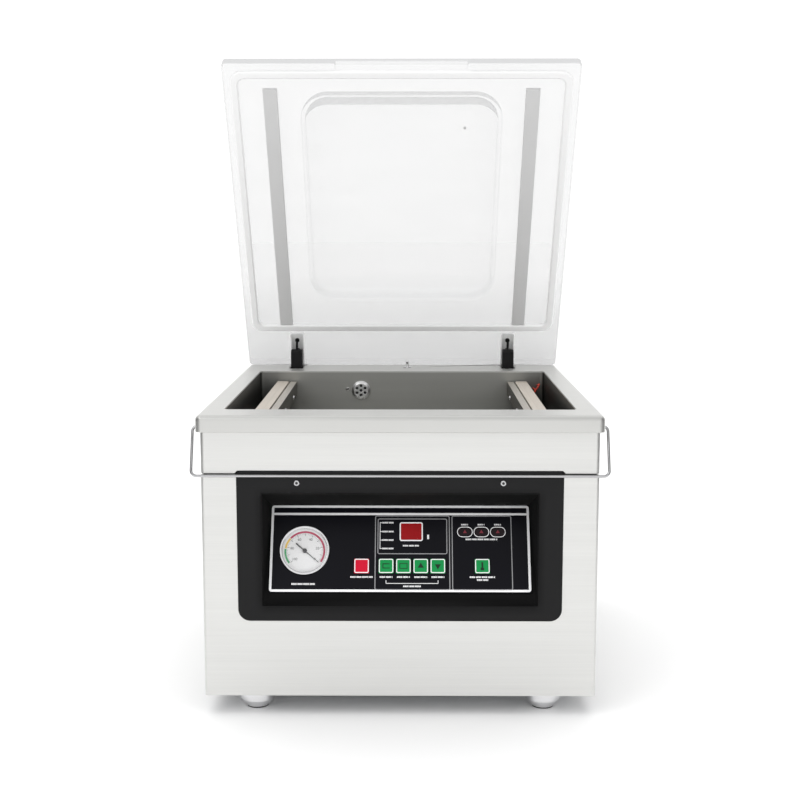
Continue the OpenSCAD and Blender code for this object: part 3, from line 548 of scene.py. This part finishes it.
def copy_of(node, cuts=()):
    """A clean, editable copy of a CAD node: its triangles merged into whole faces.
    A face with holes is divided first at each x in cuts, so that it makes simple outlines."""
    piece = bpy.data.objects.new(node + "_finished", frame["nodes"][node].data.copy())
    bpy.context.scene.collection.objects.link(piece)
    shape(piece, "FACE", everything, select_all, lambda: bpy.ops.mesh.remove_doubles(threshold=1e-6))
    for x in cuts:
        shape(piece, "FACE", everything, select_all,
              lambda: bpy.ops.mesh.bisect(plane_co=(x, 0, 0), plane_no=(1, 0, 0)),
              lambda: bpy.ops.mesh.mark_seam(clear=False))
    shape(piece, "FACE", everything, select_all,
          lambda: bpy.ops.mesh.dissolve_limited(angle_limit=math.radians(0.5), delimit={"SEAM"}))
    return piece


def skin_area(piece):
    piece.data.calc_loop_triangles()
    return sum(triangle.area for triangle in piece.data.loop_triangles)


AREA_SLACK = 1.002


def checked(node, work, cuts=()):
    """A copy of the node after some edge work. Rounding edges takes area away, so where it has
    added some, the work has gone wrong and the plain copy is used."""
    piece = copy_of(node, cuts)
    before = skin_area(piece)
    work(piece)
    if skin_area(piece) < before * AREA_SLACK:
        return piece
    bpy.data.objects.remove(piece)
    return smooth(copy_of(node, cuts))


def ride(piece, body, slot, finish=None, replaces=()):
    """Gives the piece its finish and lets it move with its body."""
    piece.data.materials.clear()
    piece.data.materials.append(FINISH[finish or slot])
    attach(piece, body)
    if replaces:
        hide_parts(*replaces)
    return piece


def refined(node, width, segments=2, cuts=(), finish=None):
    """The CAD node with its edges eased, in the node's place."""
    piece = checked(node, lambda p: eased(p, width * MM, segments), cuts)
    return ride(piece, BODY_OF[node], SLOT_OF[node], finish, (node,))


def islands(node):
    """The lowest and highest corners of each separate solid in a node."""
    shape(copy_of(node), "FACE", everything, lambda: bpy.ops.mesh.separate(type="LOOSE"))
    found = []
    for part in list(bpy.context.selected_objects):
        corners = [v.co for v in part.data.vertices]
        found.append((Vector(map(min, zip(*corners))), Vector(map(max, zip(*corners)))))
        bpy.data.objects.remove(part)
    return sorted(found, key=lambda pair: tuple(round(c, 5) for c in pair[0]))


# ---------- cabinet ----------


def cabinet():
    for node, width in {"upper_skirt": 0.5, "cabinet_shell": 0.5, "rear_panel": 0.3, "base_pan": 0.3,
                        "seam_strip": 0.4}.items():
        refined(node, width)
    deck()
    feet()
    louvres()
    screws()


def deck():
    """The deck plate with its soft rolled outer edge and an eased chamber mouth."""
    top, low, corner = DECK_HIGH.z - 0.01 * MM, DECK_LOW.z + 0.01 * MM, 8.1 * MM

    def outline(p):
        side = abs(p.x) > DECK_HIGH.x - 0.1 * MM
        end = p.y < DECK_LOW.y + 0.1 * MM or p.y > DECK_HIGH.y - 0.1 * MM
        near = abs(p.x) > DECK_HIGH.x - corner and (p.y < DECK_LOW.y + corner or p.y > DECK_HIGH.y - corner)
        return side or end or near

    def upper(a, b):
        return min(a.z, b.z) > top and outline(a) and outline(b)

    def lower(a, b):
        return max(a.z, b.z) < low and outline(a) and outline(b)

    def roll(piece):
        shape(piece, "EDGE", upper, rounding(6.5 * MM, 8))
        shape(piece, "EDGE", lower, rounding(1.2 * MM, 3))
        eased(piece, 0.45 * MM, 2, 50)

    switch = sum(end.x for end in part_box("switch_plunger")) / 2
    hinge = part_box("hinge_blocks")[1].x - 9 * MM
    piece = checked("deck_rim", roll, (-hinge, 0, switch, hinge))
    ride(piece, "cabinet", "deck_steel", replaces=("deck_rim",))


def feet():
    """Turned cups, straight above and tapered below, on thin ribbed rubber soles."""
    sole, taper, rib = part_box("foot_pads")[1].z, 11 * MM, 0.5 * MM
    foot_share, sole_share = 0.622, 0.6
    for number, (low, high) in enumerate(islands("foot_cups")):
        x, y = (low.x + high.x) / 2, (low.y + high.y) / 2
        radius, top = (high.x - low.x) / 2, SHELL_LOW.z
        cup = disc("foot_cup", (x, y, (taper + top) / 2), radius, top - taper, sides=72)
        shape(cup, "FACE", faces_down, pushed(sole - taper),
              lambda: bpy.ops.transform.resize(value=(foot_share, foot_share, 1),
                                               center_override=(x, y, sole)))
        stem = disc("foot_stem", (x, y, top + 5 * MM), 4 * MM, 12 * MM, sides=24)
        cup = joined(f"foot_cup_{number}", [eased(cup, 0.6 * MM, 3, 20), eased(stem, 0.5 * MM)])
        ride(cup, "cabinet", "chrome", replaces=("foot_cups",))
        pad = disc(f"foot_sole_{number}", (x, y, sole / 2), radius * sole_share, sole, sides=72)
        for share in (0.2, 0.45):
            shape(pad, "FACE", lambda c, n: faces_down(c, n) and math.dist(c.xy, (x, y)) < 1 * MM,
                  inset(radius * share * sole_share), pushed(rib), inset(1 * MM), pushed(-rib))
        ride(eased(pad, 0.2 * MM), "cabinet", "black_rubber", replaces=("foot_pads",))


def louvres():
    """Pressed hoods over the rear vents."""
    low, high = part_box("rear_panel")
    first_row, pitch, half = 60, 18, 43 * MM
    hoods = []
    for column in (-50, 50, 150):
        for row in range(9):
            x, z = column * MM, low.z + (first_row + row * pitch) * MM
            hood = block("hood", (x - half, high.y - 0.2 * MM, z - 3 * MM),
                         (x + half, high.y + 4 * MM, z + 7 * MM))
            shape(hood, "EDGE", lambda a, b: min(a.y, b.y) > high.y + 1 * MM and min(a.z, b.z) > z,
                  rounding(3.6 * MM, 5))
            shape(hood, "FACE", faces_down, inset(0.8 * MM), pushed(4 * MM))
            hoods.append(hood)
    ride(eased(joined("louvre_hoods", hoods), 0.25 * MM), "cabinet", "brushed_sheet")


def pan_head(name, centre, outward, radius):
    """A pan head with a hexagon socket, facing outward."""
    head = disc(name, centre + outward * 0.9 * MM, radius, 1.8 * MM, outward, 32)
    top = (centre + outward * 1.75 * MM).dot(outward)
    shape(head, "EDGE", lambda a, b: min(a.dot(outward), b.dot(outward)) > top, rounding(1.1 * MM, 4))
    carve(head, disc("socket", centre + outward * 1.4 * MM, radius * 0.5, 2 * MM, outward, 6))
    return smooth(head)


def screws():
    """The bezel's and the rear panel's screws, with black discs in their sockets as painted shade."""
    heads, shade_discs = [], []
    for low, high in islands("pan_head_screws"):
        centre = (low + high) / 2
        front = centre.y < 0
        face = SHELL_LOW.y - 1.5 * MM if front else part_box("rear_panel")[1].y
        radius, out = (high.x - low.x) / 2, Vector((0, -1 if front else 1, 0))
        seat = Vector((centre.x, face, centre.z))
        heads.append(pan_head("head", seat, out, radius))
        # painted shade: a black disc on each socket's floor
        shade_discs.append(disc("floor", seat + out * 0.5 * MM, radius * 0.5, 0.4 * MM, out, 6))
    ride(joined("pan_heads", heads), "cabinet", "chrome", "wire_steel", ("pan_head_screws",))
    ride(joined("socket_shade_discs", shade_discs), "cabinet", "chrome", "needle_black")


# ---------- chamber and sealing bars ----------


def chamber():
    refined("chamber_tub", 1.5, 3)
    refined("suction_cap", 0.5, 3, finish="cap_metal")
    refined("lift_cylinders", 0.6, 2)
    seat = (-85 * MM, TUB_WALL - 0.8 * MM, DECK_HIGH.z - 28 * MM)
    rivet = disc("wall_rivet", seat, 2.6 * MM, 1.6 * MM, (0, -1, 0), 24)
    ride(eased(rivet, 0.6 * MM, 3), "cabinet", "chrome")
    for side in ("left", "right"):
        sealing_bar(side)
        heater_leads(side)


def sealing_bar(side):
    """A bar's channel, rails and rods, its heating ribbon and the clamps and screws that hold the tape."""
    body = side + "_bar"
    refined("bar_channel_" + side, 0.5)
    refined("heater_face_" + side, 0.9, 3)
    refined("clamp_rail_" + side, 0.4)
    refined("lift_rods_" + side, 0.3)
    low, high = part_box("heater_face_" + side)
    middle = (low.x + high.x) / 2
    ribbon = block("heating_ribbon_" + side, (middle - 1.6 * MM, low.y + 6 * MM, high.z - 0.2 * MM),
                   (middle + 1.6 * MM, high.y - 6 * MM, high.z + 0.25 * MM))
    ride(eased(ribbon, 0.15 * MM), body, "heater_tape")
    clamps = [block("clamp", (low.x + 1 * MM, y, high.z - 1 * MM),
                    (high.x - 1 * MM, y + 7 * MM, high.z + 0.9 * MM)) for y in (low.y, high.y - 7 * MM)]
    ride(eased(joined("tape_clamps_" + side, clamps), 0.3 * MM), body, "bar_aluminium")
    rail_low, rail_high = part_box("clamp_rail_" + side)
    face, outward = (rail_low.x, -1) if side == "right" else (rail_high.x, 1)
    heads = []
    for share in (0.17, 0.5, 0.83):
        seat = Vector((face, rail_low.y + share * (rail_high.y - rail_low.y), rail_low.z + 6 * MM))
        heads.append(pan_head("rail_screw", seat, Vector((outward, 0, 0)), 3.2 * MM))
    ride(joined("rail_screws_" + side, heads), body, "chrome")


def tube(name, points, radius):
    """A smooth round lead through the given points."""
    bpy.ops.object.select_all(action="DESELECT")
    bpy.ops.curve.primitive_bezier_curve_add()
    lead = bpy.context.object
    spline = lead.data.splines[0]
    spline.bezier_points.add(len(points) - 2)
    for knot, point in zip(spline.bezier_points, points):
        knot.co = point
        knot.handle_left_type = knot.handle_right_type = "AUTO"
    lead.data.bevel_depth = radius
    lead.data.bevel_resolution = 5
    lead.data.resolution_u = 8
    lead.data.use_fill_caps = True
    only(lead)
    bpy.ops.object.convert(target="MESH")
    lead.name = name
    return placed(lead)


def heater_leads(side):
    """Two sleeved leads: the right bar's dip to its side, the left bar's run low to its underside."""
    low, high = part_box("bar_channel_" + side)
    leads = []
    for number in (0, 1):
        out = TUB_HIGH.x - (12 + 6 * number) * MM
        if side == "right":
            z = DECK_HIGH.z - (22 + 5 * number) * MM
            route = [(out, 0, z), (out, -6, z + 1 * MM), (out + 2 * MM, -13, z + (3 - 5 * number) * MM),
                     (out - 5 * MM, -19, z - 7 * MM), (high.x + 5 * MM, -25, z - (14 - 4 * number) * MM),
                     (high.x + 3.2 * MM, -31, z - 16 * MM), (high.x + 1.7 * MM, -37, z - 17 * MM)]
        else:
            z = DECK_HIGH.z - (62 + 5 * number) * MM
            under = low.x + (8 + 6 * number) * MM
            route = [(-out, 0, z), (-out, -6, z), (-out, -14, z - 2 * MM),
                     ((under - out) / 2, -22, z - 1 * MM), (under, -30, z + 4 * MM),
                     (under, -36, low.z - 8 * MM), (under, -37, low.z - 0.5 * MM)]
        leads.append(tube("lead", [(x, TUB_WALL + y * MM, z) for x, y, z in route], 1.25 * MM))
    piece = smooth(joined("heater_leads_" + side, leads))
    piece.data.materials.clear()
    piece.data.materials.append(FINISH["lead_red"])
    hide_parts("heater_leads")
    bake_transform(piece)


# ---------- lid ----------


def rounded_block(name, low, high, radius, segments):
    piece = block(name, low, high)
    shape(piece, "EDGE", lambda a, b: abs(a.z - b.z) > 1 * MM, rounding(radius, segments))
    return piece


def lid():
    """Thick clear sheet with a shallow raised centre and a finger notch, made shut and then swung open."""
    gap, thick, dome, wall, tail = 7 * MM, 16.5 * MM, 20 * MM, 6 * MM, 3.5 * MM
    low = Vector((DECK_LOW.x, DECK_LOW.y + 25.8 * MM, DECK_HIGH.z + gap))
    high = Vector((DECK_HIGH.x, HINGE.y + tail, DECK_HIGH.z + gap + thick))
    panel = rounded_block("lid_clear", low, high, 6 * MM, 6)
    half, y0 = 145 * MM, TUB_LOW.y + 31 * MM
    y1 = y0 + 350 * MM
    raised = rounded_block("raised", (-half, y0, high.z - 5 * MM), (half, y1, high.z + dome), 40 * MM, 14)
    crown = high.z + dome - 0.1 * MM
    shape(raised, "EDGE", lambda a, b: min(a.z, b.z) > crown, rounding(9 * MM, 6))
    carve(panel, raised, "UNION")
    hollow = rounded_block("hollow", (-half + wall, y0 + wall, low.z - 5 * MM),
                           (half - wall, y1 - wall, high.z + dome - wall), 34 * MM, 14)
    ceiling = high.z + dome - wall - 0.1 * MM
    shape(hollow, "EDGE", lambda a, b: min(a.z, b.z) > ceiling, rounding(8 * MM, 6))
    carve(panel, hollow)
    notch = block("notch", (-92 * MM, low.y - 20 * MM, low.z - 20 * MM), (92 * MM, low.y + 12 * MM, low.z))
    shape(notch, "EDGE", lambda a, b: min(a.z, b.z) > low.z - 1 * MM and max(a.y, b.y) < low.y - 19 * MM,
          lambda: bpy.ops.transform.translate(value=(0, 0, 22 * MM)))
    carve(panel, notch)
    eased(panel, 1.3 * MM, 3)
    placed(panel, OPENED)
    ride(panel, "lid", "clear_acrylic", replaces=("lid_panel",))
    seat = (91.6 * MM, HINGE.y - 411 * MM, high.z + dome - wall - 0.4 * MM)
    plug = disc("lid_plug", seat, 2.2 * MM, 1.6 * MM, sides=24)
    ride(placed(eased(plug, 0.4 * MM), OPENED), "lid", "counter_silicone")
    refined("lid_gasket", 2.6, 4)
    refined("counter_strips", 0.7, 2)
    refined("hinge_brackets", 0.35, finish="bracket_plate")
    refined("hinge_blocks", 0.9, 3)
    refined("bracket_bolts", 0.3)


def hinges():
    for node in ("hinge_lugs", "hinge_pins"):
        refined(node, 0.4)
    refined("lid_switch", 0.4)
    refined("switch_plunger", 0.8, 3)


# ---------- console ----------


INK_PROUD, INK_SUNK = 0.14, 0.02


def on_plate(piece):
    """From the plate's own frame (x right, y into the cabinet, z up from its top edge) to its place."""
    return placed(piece, PLATE)


def plate_block(name, x0, x1, top, bottom, front, back):
    """A box on the plate, in mm: top and bottom are measured down the plate, front and back into it."""
    return block(name, (x0 * MM, front * MM, -bottom * MM), (x1 * MM, back * MM, -top * MM))


def ink_ring(name, x0, x1, top, bottom, line, radius, proud=INK_PROUD):
    """A printed outline with round corners."""
    ring = plate_block(name, x0, x1, top, bottom, -proud, INK_SUNK)
    shape(ring, "EDGE", lambda a, b: abs(a.y - b.y) > 0.05 * MM, rounding(radius * MM, 4))
    inner = plate_block("inner", x0 + line, x1 - line, top + line, bottom - line, -1, 1)
    shape(inner, "EDGE", lambda a, b: abs(a.y - b.y) > 1 * MM, rounding(max(0.2, radius - line) * MM, 4))
    return carve(ring, inner)


def ink_bar(x0, x1, top, bottom, proud=INK_PROUD):
    return plate_block("ink", x0, x1, top, bottom, -proud, INK_SUNK)


def caption(centre, width, down, height=1.6):
    """A row of short strokes where a word of the legend stands, in groups of five."""
    strokes, x, last = [], centre - width / 2, centre + width / 2
    while x < last - 0.6:
        number = len(strokes)
        end = min(x + (1.1, 0.8, 1.3, 0.9)[number % 4], last)
        strokes.append(ink_bar(x, end, down - height * 0.6, down + height * 0.6, 0.10))
        x = end + (0.35 if number % 5 != 4 else 1.1)
    return strokes


KEYS = {
    "stop_button": (-48.5, "key_red", None),
    "function_button": (-17.6, "key_green", "bars"),
    "set_button": (4.2, "key_green", "box"),
    "increase_button": (26.0, "key_green", "up"),
    "decrease_button": (47.5, "key_green", "down"),
    "temperature_button": (103.5, "key_green", "stem"),
}
KEY_ROW, KEY_HALF, KEY_PROUD = 79.4, 9.4, 1.0
LAMPS = (82.2, 103.1, 124.0)


def symbol(kind, x):
    """The dark sign printed on a key."""
    proud, half_thick = KEY_PROUD + 0.04, 0.08
    if kind in ("up", "down"):
        seat = (x * MM, -proud * MM, -KEY_ROW * MM)
        sign = disc("sign", seat, 4.4 * MM, 2 * half_thick * MM, (0, -1, 0), 3)
        highest = max(v.co.z for v in sign.data.vertices)
        points_down = sum(1 for v in sign.data.vertices if abs(v.co.z - highest) < 0.01 * MM) > 2
        if points_down == (kind == "up"):
            sign.rotation_euler = (0, math.pi, 0)
            sign.location = (2 * x * MM, 0, -2 * KEY_ROW * MM)
            placed(sign)
        return [sign]
    marks = {
        "bars": [(-4.5, 4.5, -3.2, -2.2), (-4.5, 4.5, 2.2, 3.2), (-4.5, -3.5, -3.2, 3.2)],
        "box": [(-5, 5, -3.6, -2.8), (-5, 5, 2.8, 3.6), (-5, -4.2, -3.6, 3.6), (4.2, 5, -3.6, 3.6)],
        "stem": [(-1.1, 1.1, -5, 3), (-2.2, 2.2, 2, 5.4)],
    }[kind]
    front, back = -proud - half_thick, half_thick - proud
    return [plate_block("sign", x + x0, x + x1, KEY_ROW + top, KEY_ROW + bottom, front, back)
            for x0, x1, top, bottom in marks]


def keys():
    """Six keys, each with a white printed border, and all but the stop key with its sign."""
    half = KEY_HALF - 0.35
    for node, (x, finish, sign) in KEYS.items():
        body = BODY_OF[node]
        refined(node, 0.45, 3, cuts=(x * MM,))
        border = ink_ring(node + "_border", x - half, x + half, KEY_ROW - half, KEY_ROW + half, 1.15, 2.2)
        border.location = (0, -KEY_PROUD * MM, 0)
        ride(on_plate(border), body, finish, "ink_white")
        if sign:
            mark = joined(node + "_sign", symbol(sign, x))
            ride(on_plate(mark), body, finish, "symbol_green")


def plate_print():
    """The white lines, brackets and legends on the control plate."""
    white = [ink_ring("outline", -164.2, 164.2, 0.4, 112.4, 3.0, 3.4)]
    white.append(ink_bar(-162, 162, 10.2, 13.1))
    lines = [ink_ring("time_frame", -32, 63, 13.6, 110.0, 1.1, 2.5),
             ink_ring("display_frame", -28.7, 59.7, 17.5, 64, 1.1, 2.5),
             ink_ring("temperature_frame", 65.4, 141.5, 13.6, 110.0, 1.1, 2.5)]
    white.append(ink_ring("display_ring", -0.7, 28.7, 22.4, 47.0, 1.5, 2.6, 0.3))
    white.append(ink_bar(34.3, 36.6, 38.8, 44.4))
    for x in LAMPS:
        white.append(ink_ring("lamp_ring", x - 9.9, x + 9.9, 28.2, 41.8, 0.9, 6.4))
    for down in (23.0, 34.6, 45.7, 56.7):
        white += caption(-15, 15, down, 1.7)
        white.append(ink_bar(-25.2, -22.8, down - 0.35, down + 0.35))
    white.append(ink_bar(-25.9, -25.2, 22.4, 57.4))
    white += caption(14, 21, 53.0)
    for x in LAMPS:
        white += caption(x, 9, 25.4, 1.5)
    white += caption(103, 40, 44.6, 1.7)
    for node, (x, _, _) in KEYS.items():
        width = {"stop_button": 28, "temperature_button": 32}.get(node, 16)
        white += caption(x, width, 93.4, 1.7)
    white += caption(103.5, 14, 97.0, 1.7)
    white.append(ink_bar(-18, 48, 101.2, 101.9))
    white += [ink_bar(x, x + 0.7, 97.5, 101.9) for x in (-18, 47.3)]
    white += caption(15, 22, 105.2, 1.7)
    white += caption(-120.8, 31, 102.5, 1.9)
    ride(on_plate(joined("plate_lines", white)), "cabinet", "panel_film", "ink_white")
    ride(on_plate(joined("plate_frames", lines)), "cabinet", "panel_film", "ink_grey")


def bezel():
    """The moulded bezel, with its own edges."""
    piece = smooth(copy_of("panel_bezel", (0,)))
    ride(piece, "cabinet", "black_plastic", "bezel_shell", ("panel_bezel",))


def console():
    bezel()
    refined("control_plate", 0.25)
    windows()
    plate_print()
    keys()
    gauge()


def windows():
    """The red display and three dark lamp windows, set in the plate's openings."""
    display = plate_window("display_window", -0.25, 28.25, 22.8, 46.6, 1.8)
    ride(on_plate(display), "cabinet", "red_lens", replaces=("indicator_lenses",))
    lamps = [plate_window("lamp", x - 9.1, x + 9.1, 29.05, 40.95, 5.8) for x in LAMPS]
    ride(on_plate(joined("lamp_windows", lamps)), "cabinet", "red_lens", "lamp_dark", ("indicator_lenses",))
    marks = [disc("mark", (x * MM, -0.12 * MM, -35 * MM), 2.9 * MM, 0.2 * MM, (0, -1, 0), 3) for x in LAMPS]
    ride(on_plate(joined("lamp_marks", marks)), "cabinet", "red_lens", "ink_dull_red")


def plate_window(name, x0, x1, top, bottom, radius):
    """A slightly proud window with round corners, as deep as the plate is thick."""
    window = plate_block(name, x0, x1, top, bottom, -0.1, PLATE_THICK / MM)
    shape(window, "EDGE", lambda a, b: abs(a.y - b.y) > 1 * MM, rounding(radius * MM, 6))
    return eased(window, 0.08 * MM)


# ---------- gauge ----------

SCALE_START, SCALE_END = -40.0, 220.0


def scale_angle(share):
    """Where a share of the full reading stands on the dial."""
    return math.radians(SCALE_START + (SCALE_END - SCALE_START) * share)


def arc_band(name, inner, outer, start, end):
    """A printed arc on the dial, from start to end degrees, counted up from the right."""
    steps = max(6, int((end - start) / 4))
    bpy.ops.object.select_all(action="DESELECT")
    bpy.ops.mesh.primitive_plane_add(size=1)
    band = bpy.context.object
    band.name = name
    middle, width = (inner + outer) / 2 * MM, (outer - inner) * MM
    band.scale = (width, 0.001 * MM, 1)
    band.location = (middle, 0, 0)
    placed(band)
    turn = -math.radians(end - start)
    shape(band, "EDGE", lambda a, b: abs(a.x - b.x) > width / 2 and a.y > 0,
          lambda: bpy.ops.mesh.spin(steps=steps, angle=turn, center=(0, 0, 0), axis=(0, 0, 1)))
    shape(band, "FACE", everything, select_all, lambda: bpy.ops.mesh.remove_doubles(threshold=2e-6),
          pushed(0.1 * MM), select_all, lambda: bpy.ops.mesh.normals_make_consistent(inside=False))
    band.rotation_euler = (0, 0, math.radians(start))
    placed(band)
    band.rotation_euler = (math.radians(90), 0, 0)
    return placed(band)


def dial_print():
    """Coloured arcs, ticks and figures on the dial's face, which lies 3 mm behind the plate's."""
    face, figure_radius = 2.95 * MM, 16.4 * MM
    for colour, start, end in (("red", -34, 138), ("yellow", 139.5, 172), ("green", 173.5, 219)):
        band = arc_band("dial_" + colour, 23.4, 25.9, start, end)
        band.location = (0, face, 0)
        placed(band)
        ride(placed(band, GAUGE_TURNED), "cabinet", "dial_white", "ink_" + colour)
    ticks = []
    for number in range(51):
        inner, outer, width = (19.6, 23.0, 0.5) if number % 5 == 0 else (21.4, 23.0, 0.25)
        low, high = (inner * MM, face - 0.1 * MM, -width / 2 * MM), (outer * MM, face, width / 2 * MM)
        tick = block("tick", low, high)
        tick.rotation_euler = (0, -scale_angle(number / 50), 0)
        ticks.append(placed(tick))
    for number, figure in enumerate(("0", "20", "40", "60", "80", "100")):
        angle = scale_angle(number / 5)
        bpy.ops.object.select_all(action="DESELECT")
        bpy.ops.object.text_add(rotation=(math.radians(90), 0, 0))
        text = bpy.context.object
        text.data.body = figure
        text.data.size = 4.6 * MM
        text.data.extrude = 0.05 * MM
        text.data.align_x, text.data.align_y = "CENTER", "CENTER"
        text.location = (figure_radius * math.cos(angle), face, figure_radius * math.sin(angle))
        only(text)
        bpy.ops.object.convert(target="MESH")
        ticks.append(placed(bpy.context.object))
    ride(placed(joined("dial_scale", ticks), GAUGE_TURNED), "cabinet", "dial_white", "ink_black")


def gauge():
    refined("gauge_case", 0.9, 3)
    refined("gauge_dial", 0.1)
    refined("gauge_glass", 0.3)
    needle()
    dial_print()


def needle():
    """A tapered pointer with a counterweight tail and a domed hub."""
    pointer = block("needle_blade", (-14.8 * MM, 0.9 * MM, -0.9 * MM), (22.6 * MM, 1.5 * MM, 0.9 * MM))
    shape(pointer, "EDGE", lambda a, b: min(a.x, b.x) > 22 * MM and abs(a.z - b.z) > 1 * MM,
          lambda: bpy.ops.transform.resize(value=(1, 1, 0.25)))
    hub = disc("hub", (0, 1.0 * MM, 0), 2.8 * MM, 1.4 * MM, (0, -1, 0), 40)
    shape(hub, "EDGE", lambda a, b: max(a.y, b.y) < 0.4 * MM, rounding(0.6 * MM, 4))
    spindle = disc("spindle", (0, 3 * MM, 0), 0.8 * MM, 5 * MM, (0, 1, 0), 20)
    pointer.rotation_euler = (0, math.radians(-SCALE_START), 0)
    placed(pointer)
    piece = eased(joined("needle_pointer", [pointer, hub, spindle]), 0.12 * MM)
    ride(placed(piece, GAUGE_TURNED), "needle", "needle_black", replaces=("gauge_needle",))


# ---------- bail, back and insides ----------


def wire_and_back():
    refined("bail_bushings", 0.4)
    refined("power_inlet", 0.6)
    refined("power_rocker", 0.5, 3)
    ride(smooth(copy_of("wire_bail"), 50), "bail", "chrome", "wire_steel", ("wire_bail",))


def stored_inside():
    for node in ("transformer", "contactors", "solenoid_valves", "pump_housing", "motor_housing", "fan_cowl",
                 "control_board", "pump_mounts", "vacuum_hose", "pump_shaft", "motor_fan"):
        refined(node, 0.5)


def plain_nodes():
    """Every CAD node gets its slot's finish; those that a piece stands for are hidden anyway."""
    for node, item in frame["nodes"].items():
        item.data.materials.clear()
        item.data.materials.append(FINISH[SLOT_OF[node]])


# ---------- stage, light and camera ----------


def stage():
    bpy.ops.object.select_all(action="DESELECT")
    bpy.ops.mesh.primitive_plane_add(size=60, location=(0, 0, 0))
    floor = bpy.context.object
    floor.name = "studio_floor"
    f = Finish("floor_white")
    white = f.blend(f.noise(1.5, 2.0), (0.90, 0.90, 0.90), (0.92, 0.92, 0.92))
    floor.data.materials.append(f.surface(colour=white, roughness=0.75))


def flags():
    """Two black cards beside the stage. Only reflections see them: they give bright metal its dark edges."""
    f = Finish("flag_black")
    cloth = f.surface(colour=f.blend(f.noise(8.0), (0.10, 0.10, 0.10), (0.14, 0.14, 0.14)), roughness=0.9)
    for x in (-1.25, 1.25):
        bpy.ops.object.select_all(action="DESELECT")
        bpy.ops.mesh.primitive_plane_add(size=1, location=(x, -0.9, 0.75), rotation=(0, math.pi / 2, 0))
        card = bpy.context.object
        card.name = "flag_left" if x < 0 else "flag_right"
        card.scale = (1.5, 2.2, 1)
        placed(card)
        card.data.materials.append(cloth)
        card.visible_camera = card.visible_diffuse = card.visible_shadow = card.visible_transmission = False


def area_light(name, place, target, size, power):
    data = bpy.data.lights.new(name, "AREA")
    data.shape = "RECTANGLE"
    data.size, data.size_y = size
    data.energy = power
    lamp = bpy.data.objects.new(name, data)
    bpy.context.scene.collection.objects.link(lamp)
    lamp.location = place
    lamp.rotation_euler = (Vector(target) - Vector(place)).to_track_quat("-Z", "Y").to_euler()


# the studio's brightness by the sine of the height above the horizon, where it equals the lit floor's
SKY = ((0.0, 1.20), (0.14, 1.20), (0.34, 1.0), (0.75, 0.85))


def light():
    world = bpy.data.worlds.new("studio")
    bpy.context.scene.world = world
    world.use_nodes = True
    tree = world.node_tree
    tree.nodes.clear()
    view = add_node(tree, "ShaderNodeTexCoord", out="Generated")
    height = add_node(tree, "ShaderNodeSeparateXYZ", {}, {0: view}, out="Z")
    shades = [(place, (level, level, level, 1.0)) for place, level in SKY]
    sky = add_node(tree, "ShaderNodeValToRGB", {"stops": shades}, {0: height})
    glow = add_node(tree, "ShaderNodeBackground", {}, {"Color": sky, "Strength": 1.0})
    add_node(tree, "ShaderNodeOutputWorld", {}, {"Surface": glow})
    area_light("key", (-1.6, -1.9, 2.3), (0, 0, 0.3), (1.6, 1.6), 14)
    area_light("fill", (2.1, -1.6, 1.5), (0, 0, 0.3), (1.4, 1.4), 6)
    daylight = bpy.data.lights.new("daylight", "SUN")
    daylight.energy = 1.25
    daylight.angle = math.radians(70)
    lamp = bpy.data.objects.new("daylight", daylight)
    bpy.context.scene.collection.objects.link(lamp)
    lamp.rotation_euler = (math.radians(-8), math.radians(-4), 0)
    lamp.visible_glossy = False


def camera():
    data = bpy.data.cameras.new("camera")
    data.lens = 59.13
    data.sensor_width = 36
    eye = bpy.data.objects.new("camera", data)
    bpy.context.scene.collection.objects.link(eye)
    eye.location = (0.0114, DECK_LOW.y - 1.5741, DECK_HIGH.z + 0.2393)
    eye.rotation_euler = (math.radians(82.05), 0, math.radians(0.41))
    bpy.context.scene.camera = eye
    bpy.context.scene.view_settings.view_transform = "Standard"


camera()
light()
stage()
flags()
plain_nodes()
cabinet()
chamber()
lid()
hinges()
console()
wire_and_back()
stored_inside()
